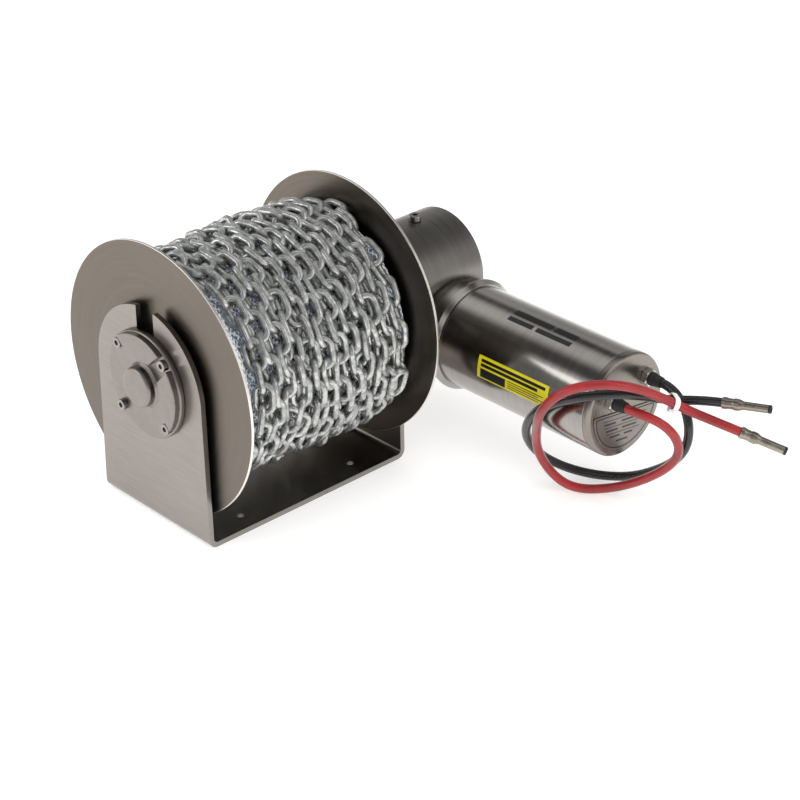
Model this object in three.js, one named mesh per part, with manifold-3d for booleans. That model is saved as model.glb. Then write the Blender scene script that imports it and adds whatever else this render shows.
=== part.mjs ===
// Electric drum anchor windlass: a folded steel bracket carries a flanged drum full of rope and
// chain, and a worm gearbox with a permanent-magnet motor stands on the bracket's far side.
//
// Millimetres, +Z up. The origin is the centre of the bracket's underside. +Y runs along the drum
// axis from the bearing cap to the gearbox, and +X points to the motor's free end.

import * as THREE from 'three';
import { NURBSCurve } from 'three/addons/curves/NURBSCurve.js';
import { mergeVertices } from 'three/addons/utils/BufferGeometryUtils.js';
import Module from 'manifold-3d';

const wasm = await Module();
wasm.setup();

// ---------------------------------------------------------------- driving dimensions
const GAP = 0.3; // clearance between pieces that touch on the real object

const AXIS_Z = 141; // drum axis above the base
const BRACKET_X = 153; // bracket width across the drum, at its foot
const BRACKET_Y = 241; // bracket length over its two upright plates
const PLATE_T = 5;
const BEND_IN = 4;
const HEAD_R = 73.5; // rounded head of each upright plate, about the drum's axis
const SLOT_W = 24;
const HOLE_X = 56;
const HOLE_Y = 68;
const HOLE_R = 3.5;

const CAP_R = 51.5;
const CAP_BASE_T = 5;
const CAP_LOBE_T = 10.5;
const CAP_BOSS_T = 14.5;
const CAP_BOSS_R = 19;
const SCREW_SPACING = 31.5; // half the square that the four cap screws stand on
const SCREW_R = 2.9;
const SCREW_HEAD_R = 5.2;
const SCREW_HEAD_T = 4;

const FLANGE_R = 130;
const FLANGE_T = 2.5;
const FLANGE_NEAR_Y = -110.5; // outer face
const FLANGE_FAR_Y = 113.6; // outer face
const CORE_R = 57;
const CORE_WALL = 4;
const SHAFT_R = 11;
const SHAFT_NEAR_Y = -129.5;
const SHAFT_FAR_Y = 237.5;
const HUB_T = 14;
const KEY_W = 6;

const ROPE_R = 94; // rope layers below the chain
const ROPE_SHOULDER_R = 103; // last turns of rope beside the near flange
const ROPE_SHOULDER_Y = -84;
const CHAIN_R = 108;
const CHAIN_WIRE = 6.4;
const LINK_LENGTH = 33;
const LINK_WIDTH = 22;

const GEAR_R = 55;
const GEAR_NEAR_Y = BRACKET_Y / 2 + GAP;
const GEAR_FAR_Y = 248.2;
const GEAR_FRONT_WALL_Y = 137;
const GEAR_BORE_R = 46;
const COVER_R = 49.7;
const COVER_Y = 238.3;

const MOTOR_Y = 213;
const MOTOR_Z = 98;
const WORM_PITCH_R = AXIS_Z - MOTOR_Z - 30;
const WHEEL_TEETH = 30;
const WHEEL_PITCH_R = 30;
const TOOTH_PITCH = (2 * Math.PI * WHEEL_PITCH_R) / WHEEL_TEETH;
const WORM_HOUSING_R = 25;
const NECK_R = 50;
const NECK_END_X = 61.5;
const COLLAR_START_X = NECK_END_X + GAP;
const COLLAR_END_X = 80;
const COLLAR_R = 56;
const TUBE_R = 50.8; // 4 inch tube
const TUBE_WALL = 3;
const TUBE_END_X = 263.5;
const CAP_FACE_X = 271;
const MOTOR_SHAFT_R = 7.5;
const RED_EXIT = [-21, 12]; // terminal places on the end cap, from the motor axis in Y and Z
const BLACK_EXIT = [27, 20];
const BOOT_END_X = 289.7;

const PLUG_Y = 208;
const END_LINK_R = 113; // free last link of the chain, flat on the pile
const END_LINK_TURN = 0.3;
const END_LINK_Y = 82;

const CABLE_R = 4.4;
const CABLE_STEPS = 32;
const TIE_STRANDS = [[314.7, 225.3, 116.2], [323.4, 219.1, 117.3]]; // cable centres in the tie
const TIE_DIRECTION = [0.57, 0.74, -0.32];
const TIE_WIDTH = 4.6;
const TIE_T = 1.3;
const CRIMP_R = 5.6;
const CRIMP_LENGTH = 19;
const BARREL_R = 3.9;
const CONNECTOR_LENGTH = 45;

// ---------------------------------------------------------------- materials
function metal(color, roughness, metalness = 1) {
  return new THREE.MeshStandardMaterial({ color, roughness, metalness });
}
const steelPlate = metal(0xa8a29c, 0.38);
const castCap = metal(0xb0aaa6, 0.3);
const flangeSteel = metal(0x98918a, 0.36);
const gearSteel = metal(0x7d7a76, 0.34);
const polishedSteel = metal(0xc2bfba, 0.14);
const screwSteel = metal(0xc8c6c2, 0.25);
const plainSteel = metal(0x8f9193, 0.4);
const galvanised = metal(0xa9acad, 0.45);
const bronze = metal(0xb08a4a, 0.4);
const copper = metal(0xb46a3c, 0.35);
const carbon = metal(0x26262a, 0.7, 0.1);
const ferrite = metal(0x3a3a3e, 0.8, 0.2);
const blackRubber = metal(0x151516, 0.75, 0);
const redVinyl = metal(0xb3282a, 0.45, 0);
const blackVinyl = metal(0x171718, 0.42, 0);
const whiteRope = metal(0xd9dadb, 0.9, 0);
const whiteNylon = metal(0xe9e9e6, 0.5, 0);
const yellowLabel = metal(0xe6d818, 0.5, 0);
const tinned = metal(0x9b9387, 0.35);

// ---------------------------------------------------------------- geometry helpers
function solidOf(geometry) {
  const bare = geometry.index ? geometry.toNonIndexed() : geometry.clone();
  bare.deleteAttribute('normal');
  bare.deleteAttribute('uv');
  const merged = mergeVertices(bare, 1e-4);
  const index = merged.index.array;
  const position = merged.attributes.position;
  const triangles = [];
  let volume = 0;
  const a = new THREE.Vector3();
  const b = new THREE.Vector3();
  const c = new THREE.Vector3();
  for (let i = 0; i < index.length; i += 3) {
    const [p, q, r] = [index[i], index[i + 1], index[i + 2]];
    if (p === q || q === r || p === r) continue;
    triangles.push(p, q, r);
    a.fromBufferAttribute(position, p);
    b.fromBufferAttribute(position, q);
    c.fromBufferAttribute(position, r);
    volume += a.dot(b.cross(c));
  }
  if (volume < 0) triangles.reverse();
  return new wasm.Manifold(new wasm.Mesh({
    numProp: 3,
    vertProperties: new Float32Array(position.array),
    triVerts: new Uint32Array(triangles),
  }));
}

function geometryOf(solid) {
  const mesh = solid.getMesh();
  const geometry = new THREE.BufferGeometry();
  const vertices = new Float32Array(mesh.numVert * 3);
  for (let i = 0; i < mesh.numVert; i += 1) {
    for (let k = 0; k < 3; k += 1) vertices[3 * i + k] = mesh.vertProperties[mesh.numProp * i + k];
  }
  geometry.setAttribute('position', new THREE.BufferAttribute(vertices, 3));
  geometry.setIndex(new THREE.BufferAttribute(new Uint32Array(mesh.triVerts), 1));
  geometry.computeVertexNormals();
  return geometry;
}

function closed(geometry) {
  return geometryOf(solidOf(geometry));
}

function join(...geometries) {
  return geometryOf(geometries.map(solidOf).reduce((sum, next) => sum.add(next)));
}

function cut(base, ...tools) {
  return geometryOf(tools.map(solidOf).reduce((left, tool) => left.subtract(tool), solidOf(base)));
}

function common(first, second) {
  return geometryOf(solidOf(first).intersect(solidOf(second)));
}

// A solid of revolution. The profile lists [radius, place along the axis] and closes on itself.
function turned(profile, axis = 'y', segments = 48) {
  const points = profile.map(([radius, along]) => new THREE.Vector2(radius, along));
  points.push(points[0].clone());
  const geometry = new THREE.LatheGeometry(points, segments);
  if (axis === 'x') geometry.rotateZ(-Math.PI / 2);
  if (axis === 'z') geometry.rotateX(Math.PI / 2);
  return geometry;
}

function ring(inner, outer, from, to, axis = 'y', segments = 48) {
  return turned([[inner, from], [outer, from], [outer, to], [inner, to]], axis, segments);
}

function rod(radius, from, to, axis = 'y', segments = 36) {
  const geometry = new THREE.CylinderGeometry(radius, radius, to - from, segments);
  geometry.translate(0, (from + to) / 2, 0);
  if (axis === 'x') geometry.rotateZ(-Math.PI / 2);
  if (axis === 'z') geometry.rotateX(Math.PI / 2);
  return geometry;
}

function block(x0, x1, y0, y1, z0, z1) {
  const geometry = new THREE.BoxGeometry(x1 - x0, y1 - y0, z1 - z0);
  return geometry.translate((x0 + x1) / 2, (y0 + y1) / 2, (z0 + z1) / 2);
}

function polygon(points) {
  return new THREE.Shape(points.map(([u, v]) => new THREE.Vector2(u, v)));
}

function arcPoints(radius, from, to, steps, centreU = 0, centreV = 0) {
  const points = [];
  for (let i = 0; i <= steps; i += 1) {
    const angle = from + ((to - from) * i) / steps;
    points.push([centreU + radius * Math.cos(angle), centreV + radius * Math.sin(angle)]);
  }
  return points;
}

// Shape drawn in X and Z, extruded from y0 to y1.
function slabXZ(shape, y0, y1, bevel = 0) {
  const geometry = extruded(shape, y1 - y0, bevel);
  return geometry.rotateX(Math.PI / 2).translate(0, y1, 0);
}

// Shape drawn in Y and Z, extruded from x0 to x1.
function slabYZ(shape, x0, x1, bevel = 0) {
  const toYZ = new THREE.Matrix4().makeBasis(
    new THREE.Vector3(0, 1, 0),
    new THREE.Vector3(0, 0, 1),
    new THREE.Vector3(1, 0, 0),
  );
  return extruded(shape, x1 - x0, bevel).applyMatrix4(toYZ).translate(x0, 0, 0);
}

function extruded(shape, depth, bevel) {
  return new THREE.ExtrudeGeometry(shape, {
    depth: depth - 2 * bevel,
    bevelEnabled: bevel > 0,
    bevelThickness: bevel,
    bevelSize: bevel,
    bevelOffset: -bevel,
    bevelSegments: 1,
    steps: 1,
    curveSegments: 12,
  }).translate(0, 0, bevel);
}

// Skin over a row of equal rings of points, closed by a fan at each end.
function loft(rings) {
  const count = rings[0].length;
  const vertices = [];
  const index = [];
  for (const points of rings) {
    for (const point of points) vertices.push(point.x, point.y, point.z);
  }
  for (let r = 0; r + 1 < rings.length; r += 1) {
    for (let i = 0; i < count; i += 1) {
      const j = (i + 1) % count;
      const low = r * count;
      const high = low + count;
      index.push(low + i, low + j, high + j, low + i, high + j, high + i);
    }
  }
  for (const [row, flip] of [[0, true], [rings.length - 1, false]]) {
    const centre = rings[row].reduce((sum, p) => sum.add(p), new THREE.Vector3());
    centre.divideScalar(count);
    const hub = vertices.length / 3;
    vertices.push(centre.x, centre.y, centre.z);
    for (let i = 0; i < count; i += 1) {
      const j = (i + 1) % count;
      const [first, second] = flip ? [j, i] : [i, j];
      index.push(row * count + first, row * count + second, hub);
    }
  }
  const geometry = new THREE.BufferGeometry();
  geometry.setAttribute('position', new THREE.Float32BufferAttribute(vertices, 3));
  geometry.setIndex(index);
  return geometry;
}

// The same skin over a row of rings that ends where it began.
function loopSkin(rings) {
  const count = rings[0].length;
  const vertices = rings.slice(0, -1).flat().flatMap((point) => [point.x, point.y, point.z]);
  const index = [];
  const total = rings.length - 1;
  for (let r = 0; r < total; r += 1) {
    for (let i = 0; i < count; i += 1) {
      const j = (i + 1) % count;
      const low = r * count;
      const high = ((r + 1) % total) * count;
      index.push(low + i, low + j, high + j, low + i, high + j, high + i);
    }
  }
  const geometry = new THREE.BufferGeometry();
  geometry.setAttribute('position', new THREE.Float32BufferAttribute(vertices, 3));
  geometry.setIndex(index);
  return geometry;
}

function hexagon(acrossFlats, centreU = 0, centreV = 0) {
  return polygon(arcPoints(acrossFlats / Math.sqrt(3), 0, (5 * Math.PI) / 3, 5, centreU, centreV));
}

// ---------------------------------------------------------------- scene groups
const windlass = new THREE.Group();
const drumLine = new THREE.Group(); // Y axis through the drum
drumLine.position.set(0, 0, AXIS_Z);
const motorLine = new THREE.Group(); // X axis through the motor
motorLine.position.set(0, MOTOR_Y, MOTOR_Z);
windlass.add(drumLine, motorLine);

function place(group, name, geometry, material) {
  const mesh = new THREE.Mesh(closed(geometry), material);
  mesh.name = name;
  group.add(mesh);
  return mesh;
}

// ---------------------------------------------------------------- bracket
function bracketGeometry() {
  const outer = BRACKET_Y / 2;
  const inner = outer - PLATE_T;
  const bendOut = BEND_IN + PLATE_T;
  const top = AXIS_Z + HEAD_R + 1;
  const half = Math.PI / 2;
  const channel = polygon([
    [outer, top],
    ...arcPoints(bendOut, 0, -half, 5, outer - bendOut, bendOut),
    ...arcPoints(bendOut, -half, -2 * half, 5, bendOut - outer, bendOut),
    [-outer, top],
    [-inner, top],
    ...arcPoints(BEND_IN, -2 * half, -half, 4, BEND_IN - inner, PLATE_T + BEND_IN),
    ...arcPoints(BEND_IN, -half, 0, 4, inner - BEND_IN, PLATE_T + BEND_IN),
    [inner, top],
  ]);
  const side = BRACKET_X / 2;
  const slot = SLOT_W / 2;
  const lip = Math.acos(slot / HEAD_R);
  const head = polygon([
    [-side, -1],
    [side, -1],
    ...arcPoints(HEAD_R, 0, lip, 12, 0, AXIS_Z),
    ...arcPoints(slot, 0, -2 * half, 10, 0, AXIS_Z),
    ...arcPoints(HEAD_R, Math.PI - lip, Math.PI, 12, 0, AXIS_Z),
  ]);
  const folded = common(
    slabYZ(channel, -side, side),
    slabXZ(head, -outer - 1, outer + 1),
  );
  const holes = [];
  for (const x of [-HOLE_X, HOLE_X]) {
    for (const y of [-HOLE_Y, HOLE_Y]) {
      holes.push(rod(HOLE_R, -1, PLATE_T + 1, 'z', 16).translate(x, y, 0));
    }
  }
  for (const [x, z] of squareOf(SCREW_SPACING)) {
    holes.push(rod(SCREW_R + GAP, -outer - 1, -inner + 1, 'y', 12).translate(x, 0, AXIS_Z + z));
    holes.push(countersunk(inner, GAP).translate(x, 0, AXIS_Z + z));
  }
  return cut(folded, ...holes);
}

function squareOf(half) {
  return [[-half, half], [half, half], [half, -half], [-half, -half]];
}

// Countersunk screw along +Y, its head flush with the face at y = headY.
function countersunk(headY, grow = 0) {
  const shank = SCREW_R + grow;
  const head = 5.5 + grow;
  const tip = GEAR_NEAR_Y + 9 + grow;
  return turned([
    [0, headY - grow],
    [head, headY - grow],
    [shank, headY + head - shank],
    [shank, tip],
    [0, tip],
  ], 'y', 12);
}

place(windlass, 'bracket', bracketGeometry(), steelPlate);

// ---------------------------------------------------------------- near bearing
const capBack = -BRACKET_Y / 2 - GAP;

function capLobe(turn) {
  const outerR = CAP_R - 1.2;
  const half = THREE.MathUtils.degToRad(37);
  const outline = polygon([
    [-15, 26.5],
    [15, 26.5],
    [24, 35],
    ...arcPoints(outerR, Math.PI / 2 - half, Math.PI / 2 + half, 5),
    [-24, 35],
  ]);
  const lobe = slabXZ(outline, capBack - CAP_LOBE_T, capBack - 1, 1.4);
  return lobe.rotateY(turn);
}

function bearingCap() {
  const disc = turned([
    [0, capBack],
    [CAP_R, capBack],
    [CAP_R, capBack - CAP_BASE_T + 1],
    [CAP_R - 1, capBack - CAP_BASE_T],
    [0, capBack - CAP_BASE_T],
  ], 'y', 48);
  const front = capBack - CAP_BOSS_T;
  const boss = turned([
    [0, capBack - 1],
    [CAP_BOSS_R + 2.5, capBack - 1],
    [CAP_BOSS_R + 2.5, capBack - CAP_BASE_T],
    [CAP_BOSS_R, capBack - CAP_BASE_T - 2],
    [CAP_BOSS_R, front + 3],
    [CAP_BOSS_R - 3, front],
    [0, front],
  ], 'y', 24);
  const lobes = [capLobe(0), capLobe(Math.PI / 2)];
  const solid = join(disc, boss, ...lobes);
  const seat = rod(15.3, capBack - 10.5, capBack + 1, 'y', 24);
  const holes = squareOf(SCREW_SPACING).map(([x, z]) => (
    rod(SCREW_R + GAP, capBack - 30, capBack + 1, 'y', 12).translate(x, 0, z)
  ));
  const seats = squareOf(SCREW_SPACING).map(([x, z]) => (
    rod(SCREW_HEAD_R + 1.2, capBack - 30, capBack - CAP_BASE_T, 'y', 20).translate(x, 0, z)
  ));
  return cut(solid, seat, ...holes, ...seats);
}

function socketScrew(seatY, length) {
  const body = turned([
    [0, seatY + length],
    [SCREW_R, seatY + length],
    [SCREW_R, seatY],
    [SCREW_HEAD_R, seatY],
    [SCREW_HEAD_R, seatY - SCREW_HEAD_T],
    [0, seatY - SCREW_HEAD_T],
  ], 'y', 16);
  return cut(body, slabXZ(hexagon(4.6), seatY - SCREW_HEAD_T - 1, seatY - 1.6));
}

place(drumLine, 'bearing_cap', bearingCap(), castCap);
place(drumLine, 'near_bush', ring(SHAFT_R + GAP, 15, capBack - 10.2, capBack - 0.6, 'y', 24), bronze);
squareOf(SCREW_SPACING).forEach(([x, z], i) => {
  const seat = capBack - CAP_BASE_T - GAP;
  const screw = place(drumLine, `cap_screw_${i + 1}`, socketScrew(seat, 9.2), screwSteel);
  screw.position.set(x, 0, z);
});

// ---------------------------------------------------------------- drum
const coreNear = FLANGE_NEAR_Y + FLANGE_T + GAP;
const coreFar = FLANGE_FAR_Y - FLANGE_T - GAP;
const keyBottom = SHAFT_R - 3;
const keyTop = SHAFT_R + 3;

function flange(outerY, side) {
  return ring(SHAFT_R + GAP, FLANGE_R, outerY, outerY + side * FLANGE_T, 'y', 64);
}

function keyway(from, to, gap = GAP) {
  const half = KEY_W / 2 + gap;
  return block(-half, half, from - gap, to + gap, keyBottom - gap, keyTop + gap);
}

const HUB_KEY = [92, 104];
const WHEEL_KEY = [206, 220];

function drumShaft() {
  const bar = turned([
    [0, SHAFT_NEAR_Y],
    [SHAFT_R - 1, SHAFT_NEAR_Y],
    [SHAFT_R, SHAFT_NEAR_Y + 1],
    [SHAFT_R, SHAFT_FAR_Y - 1],
    [SHAFT_R - 1, SHAFT_FAR_Y],
    [0, SHAFT_FAR_Y],
  ], 'y', 24);
  return cut(bar, keyway(...HUB_KEY), keyway(...WHEEL_KEY));
}

function hub(from, key) {
  const body = turned([
    [SHAFT_R + GAP, from],
    [24, from],
    [24, from + 3],
    [CORE_R - CORE_WALL - GAP, from + 3],
    [CORE_R - CORE_WALL - GAP, from + HUB_T - 3],
    [24, from + HUB_T - 3],
    [24, from + HUB_T],
    [SHAFT_R + GAP, from + HUB_T],
  ], 'y', 24);
  return key ? cut(body, keyway(from - 2, from + HUB_T + 2)) : body;
}

place(drumLine, 'drum_flange_near', flange(FLANGE_NEAR_Y, 1), flangeSteel);
place(drumLine, 'drum_flange_far', flange(FLANGE_FAR_Y, -1), flangeSteel);
place(drumLine, 'drum_core', ring(CORE_R - CORE_WALL, CORE_R, coreNear, coreFar, 'y', 24), plainSteel);
place(drumLine, 'drum_shaft', drumShaft(), polishedSteel);
place(drumLine, 'drum_hub_near', hub(-105), plainSteel);
place(drumLine, 'drum_hub_far', hub(91, true), plainSteel);
place(drumLine, 'hub_key', keyway(...HUB_KEY, 0), plainSteel);

// ---------------------------------------------------------------- rope and chain on the drum
const pileNear = coreNear + GAP;
const pileFar = coreFar - GAP;

place(drumLine, 'rope_winding', turned([
  [CORE_R + GAP, pileNear],
  [ROPE_SHOULDER_R, pileNear],
  [ROPE_SHOULDER_R, ROPE_SHOULDER_Y],
  [ROPE_R, ROPE_SHOULDER_Y],
  [ROPE_R, pileFar],
  [CORE_R + GAP, pileFar],
], 'y', 40), whiteRope);

place(drumLine, 'chain_winding', turned([
  [ROPE_R + GAP, ROPE_SHOULDER_Y + GAP],
  [CHAIN_R - 3, ROPE_SHOULDER_Y + GAP],
  [CHAIN_R, ROPE_SHOULDER_Y + 8],
  [CHAIN_R, pileFar - 20],
  [CHAIN_R - 8, pileFar],
  [ROPE_R + GAP, pileFar],
], 'y', 40), galvanised);

// One oval link, its long side along Z and its width along Y.
function chainLink() {
  const reach = (LINK_LENGTH - LINK_WIDTH) / 2;
  const bend = (LINK_WIDTH - CHAIN_WIRE) / 2;
  const course = [
    ...arcPoints(bend, 0, Math.PI, 7, 0, reach),
    ...arcPoints(bend, Math.PI, 2 * Math.PI, 7, 0, -reach),
  ];
  const sides = 8;
  const rings = [...course, course[0]].map(([u, v]) => {
    const outward = new THREE.Vector3(0, u, v - Math.sign(v) * reach).normalize();
    return arcPoints(CHAIN_WIRE / 2, 0, 2 * Math.PI, sides).slice(0, sides).map(([out, across]) => (
      new THREE.Vector3(across, u, v).addScaledVector(outward, out)
    ));
  });
  return loopSkin(rings);
}

const endLink = place(drumLine, 'chain_end_link', chainLink(), galvanised);
endLink.rotation.y = END_LINK_TURN;
endLink.position.set(
  END_LINK_R * Math.cos(END_LINK_TURN),
  END_LINK_Y,
  -END_LINK_R * Math.sin(END_LINK_TURN),
);

// ---------------------------------------------------------------- worm gearbox
const wormX = 23; // half length of the worm
const neckZ = MOTOR_Z - AXIS_Z;
const neckY = MOTOR_Y;

function gearHousing() {
  const drumSide = turned([
    [0, GEAR_NEAR_Y],
    [GEAR_R, GEAR_NEAR_Y],
    [GEAR_R, GEAR_FAR_Y - 0.8],
    [GEAR_R - 0.8, GEAR_FAR_Y],
    [0, GEAR_FAR_Y],
  ], 'y', 48);
  const neck = turned([
    [0, -48],
    [WORM_HOUSING_R - 2, -48],
    [WORM_HOUSING_R, -46],
    [WORM_HOUSING_R, 18],
    [NECK_R, 36],
    [NECK_R, NECK_END_X],
    [0, NECK_END_X],
  ], 'x', 40).translate(0, neckY, neckZ);
  const gearChamber = turned([
    [0, GEAR_FRONT_WALL_Y],
    [GEAR_BORE_R, GEAR_FRONT_WALL_Y],
    [GEAR_BORE_R, COVER_Y - GAP],
    [COVER_R + GAP, COVER_Y - GAP],
    [COVER_R + GAP, GEAR_FAR_Y + 20],
    [0, GEAR_FAR_Y + 20],
  ], 'y', 40);
  const frontBore = turned([
    [0, GEAR_NEAR_Y - 1],
    [18.3, GEAR_NEAR_Y - 1],
    [18.3, 127],
    [23.3, 127],
    [23.3, GEAR_FRONT_WALL_Y + 1],
    [0, GEAR_FRONT_WALL_Y + 1],
  ], 'y', 28);
  const wormChamber = turned([
    [0, -44],
    [17.3, -44],
    [17.3, 30],
    [40, 46],
    [40, NECK_END_X + 1],
    [0, NECK_END_X + 1],
  ], 'x', 32).translate(0, neckY, neckZ);
  const plugHole = rod(4.2, GEAR_BORE_R - 2, GEAR_R + 2, 'z', 16).translate(0, PLUG_Y, 0);
  const screwHoles = squareOf(SCREW_SPACING).map(([x, z]) => (
    rod(SCREW_R + GAP, GEAR_NEAR_Y - 1, GEAR_NEAR_Y + 10, 'y', 12).translate(x, 0, z)
  ));
  return cut(
    join(drumSide, neck),
    gearChamber,
    frontBore,
    wormChamber,
    plugHole,
    ...screwHoles,
  );
}

function gearCover() {
  const body = turned([
    [0, COVER_Y],
    [COVER_R, COVER_Y],
    [COVER_R, GEAR_FAR_Y - 3.8],
    [COVER_R - 1.2, GEAR_FAR_Y - 2.6],
    [0, GEAR_FAR_Y - 2.6],
  ], 'y', 40);
  const seat = ring(23.3, 28, COVER_Y - 9, COVER_Y + 1, 'y', 28);
  const holes = coverCircle().map(([x, z]) => (
    rod(2.2, COVER_Y - 1, GEAR_FAR_Y, 'y', 10).translate(x, 0, z)
  ));
  return cut(join(body, seat), ...holes);
}

function coverCircle() {
  return arcPoints(42.5, Math.PI / 2, (11 * Math.PI) / 6, 2);
}

function coverScrew() {
  const seat = GEAR_FAR_Y - 2.6 + GAP;
  const body = turned([
    [0, COVER_Y + 0.5],
    [1.9, COVER_Y + 0.5],
    [1.9, seat],
    [3.6, seat],
    [3.6, seat + 1.4],
    [2.4, seat + 2.2],
    [0, seat + 2.2],
  ], 'y', 12);
  return cut(body, slabXZ(hexagon(2.6), seat + 0.8, seat + 4));
}

function housingScrew() {
  const inner = BRACKET_Y / 2 - PLATE_T;
  const body = turned([
    [0, inner],
    [5.1, inner],
    [SCREW_R - 0.2, inner + 2.4],
    [SCREW_R - 0.2, GEAR_NEAR_Y + 9],
    [0, GEAR_NEAR_Y + 9],
  ], 'y', 12);
  return cut(body, slabXZ(hexagon(3.4), inner - 1, inner + 1.5));
}

function oilPlug() {
  const body = turned([
    [0, GEAR_BORE_R + 1],
    [3.8, GEAR_BORE_R + 1],
    [3.8, GEAR_R + GAP],
    [6.2, GEAR_R + GAP],
    [6.2, GEAR_R + 5.2],
    [5.4, GEAR_R + 6],
    [0, GEAR_R + 6],
  ], 'z', 16);
  const socket = extruded(hexagon(4.8), 4, 0).translate(0, 0, GEAR_R + 3);
  return cut(body, socket).translate(0, PLUG_Y, 0);
}

// Worm wheel with helical teeth that match the worm's lead.
function wormWheel() {
  const half = 9;
  const lean = TOOTH_PITCH / (2 * Math.PI * WORM_PITCH_R); // tangent of the lead angle
  const step = (2 * Math.PI) / WHEEL_TEETH;
  const outline = (along) => {
    const twist = (lean * along) / WHEEL_PITCH_R;
    const points = [];
    for (let i = 0; i < WHEEL_TEETH; i += 1) {
      for (const [radius, part] of [[27.2, -0.36], [31.6, -0.13], [31.6, 0.13], [27.2, 0.36]]) {
        const angle = -Math.PI / 2 + (i + 0.5 + part) * step + twist;
        points.push(new THREE.Vector3(radius * Math.cos(angle), along, radius * Math.sin(angle)));
      }
    }
    return points;
  };
  const gear = loft([-half, half].map(outline));
  const hubs = ring(SHAFT_R + GAP, 19, -half - 4, half + 4, 'y', 24);
  const bore = rod(SHAFT_R + GAP, -half - 1, half + 1, 'y', 24);
  return cut(join(cut(gear, bore), hubs), keyway(-half - 6, half + 6)).translate(0, MOTOR_Y, 0);
}

place(drumLine, 'gear_housing', gearHousing(), gearSteel);
place(drumLine, 'gear_cover', gearCover(), gearSteel);
place(drumLine, 'shaft_seal', ring(SHAFT_R + GAP, 18, GEAR_NEAR_Y + GAP, 126.7, 'y', 24), blackRubber);
place(drumLine, 'output_bearing_front', ring(SHAFT_R + GAP, 23, 127.3, 136.7, 'y', 28), screwSteel);
place(drumLine, 'output_bearing_rear', ring(SHAFT_R + GAP, 23, COVER_Y - 8.8, COVER_Y - GAP, 'y', 28), screwSteel);
place(drumLine, 'oil_plug', oilPlug(), screwSteel);
place(drumLine, 'worm_wheel', wormWheel(), bronze);
place(drumLine, 'wheel_key', keyway(...WHEEL_KEY, 0), plainSteel);
coverCircle().forEach(([x, z], i) => {
  place(drumLine, `cover_screw_${i + 1}`, coverScrew(), screwSteel).position.set(x, 0, z);
});
squareOf(SCREW_SPACING).forEach(([x, z], i) => {
  place(drumLine, `housing_screw_${i + 1}`, housingScrew(), screwSteel).position.set(x, 0, z);
});

// ---------------------------------------------------------------- motor shell
const tubeStart = COLLAR_END_X + GAP;
const tubeBore = TUBE_R - TUBE_WALL;
const capSeam = TUBE_END_X + GAP;

function driveEndBell() {
  const bossEnd = COLLAR_START_X + 18;
  return turned([
    [8.5, COLLAR_START_X],
    [53, COLLAR_START_X],
    [53, COLLAR_START_X + 8],
    [COLLAR_R, COLLAR_START_X + 10.5],
    [COLLAR_R, COLLAR_END_X - 4],
    [COLLAR_R - 3.6, COLLAR_END_X],
    [tubeBore - GAP, COLLAR_END_X],
    [tubeBore - GAP, COLLAR_END_X + 7],
    [tubeBore - 4, COLLAR_END_X + 7],
    [tubeBore - 4, COLLAR_START_X + 9],
    [20, COLLAR_START_X + 9],
    [20, bossEnd],
    [16, bossEnd],
    [16, COLLAR_START_X + 7],
    [8.5, COLLAR_START_X + 7],
  ], 'x', 48);
}

function motorEndCap() {
  const edge = 5;
  return turned([
    [0, CAP_FACE_X],
    [TUBE_R - edge, CAP_FACE_X],
    ...arcPoints(edge, Math.PI / 2, 0, 2, TUBE_R - edge, CAP_FACE_X - edge),
    [TUBE_R, capSeam],
    [tubeBore - GAP, capSeam],
    [tubeBore - GAP, capSeam - 7],
    [tubeBore - 4, capSeam - 7],
    [tubeBore - 4, capSeam + 3],
    [18, capSeam + 3],
    [18, capSeam - 8],
    [13.3, capSeam - 8],
    [13.3, capSeam + 1],
    [0, capSeam + 1],
  ], 'x', 48);
}

function magnet(centreAngle) {
  const span = THREE.MathUtils.degToRad(62);
  const outline = polygon([
    ...arcPoints(tubeBore - GAP, centreAngle - span, centreAngle + span, 10),
    ...arcPoints(39, centreAngle + span, centreAngle - span, 10),
  ]);
  return slabYZ(outline, 104, 216);
}

function brushPlate() {
  const plate = ring(19, tubeBore - GAP, 242, 245, 'x', 28);
  const guides = [1, -1].flatMap((side) => {
    const low = side > 0 ? 19 : -38;
    return [block(225, 243, -7, 7, low, low + 19)];
  });
  const slots = [block(228, 238, -4.3, 4.3, -46, 46)];
  return cut(join(plate, ...guides), ...slots, rod(18.6, 220, 250, 'x', 24));
}

function brush(side) {
  const low = side > 0 ? 16.9 : -30;
  return block(228.4, 237.6, -4, 4, low, low + 13.1);
}

place(motorLine, 'drive_end_bell', driveEndBell(), polishedSteel);
place(motorLine, 'motor_tube', ring(tubeBore, TUBE_R, tubeStart, TUBE_END_X, 'x', 56), polishedSteel);
place(motorLine, 'motor_end_cap', motorEndCap(), polishedSteel);
place(motorLine, 'magnet_1', magnet(0), ferrite);
place(motorLine, 'magnet_2', magnet(Math.PI), ferrite);
place(motorLine, 'brush_plate', brushPlate(), carbon);
place(motorLine, 'brush_1', brush(1), carbon);
place(motorLine, 'brush_2', brush(-1), carbon);
place(motorLine, 'worm_bearing', ring(MOTOR_SHAFT_R + GAP, 17, -43.6, -34, 'x', 24), screwSteel);
place(motorLine, 'drive_end_bearing', ring(MOTOR_SHAFT_R + GAP, 15.7, COLLAR_START_X + 7.4, COLLAR_START_X + 17, 'x', 24), screwSteel);
place(motorLine, 'cap_end_bearing', ring(MOTOR_SHAFT_R + GAP, 13, capSeam - 7.6, capSeam + 0.7, 'x', 24), screwSteel);

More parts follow.
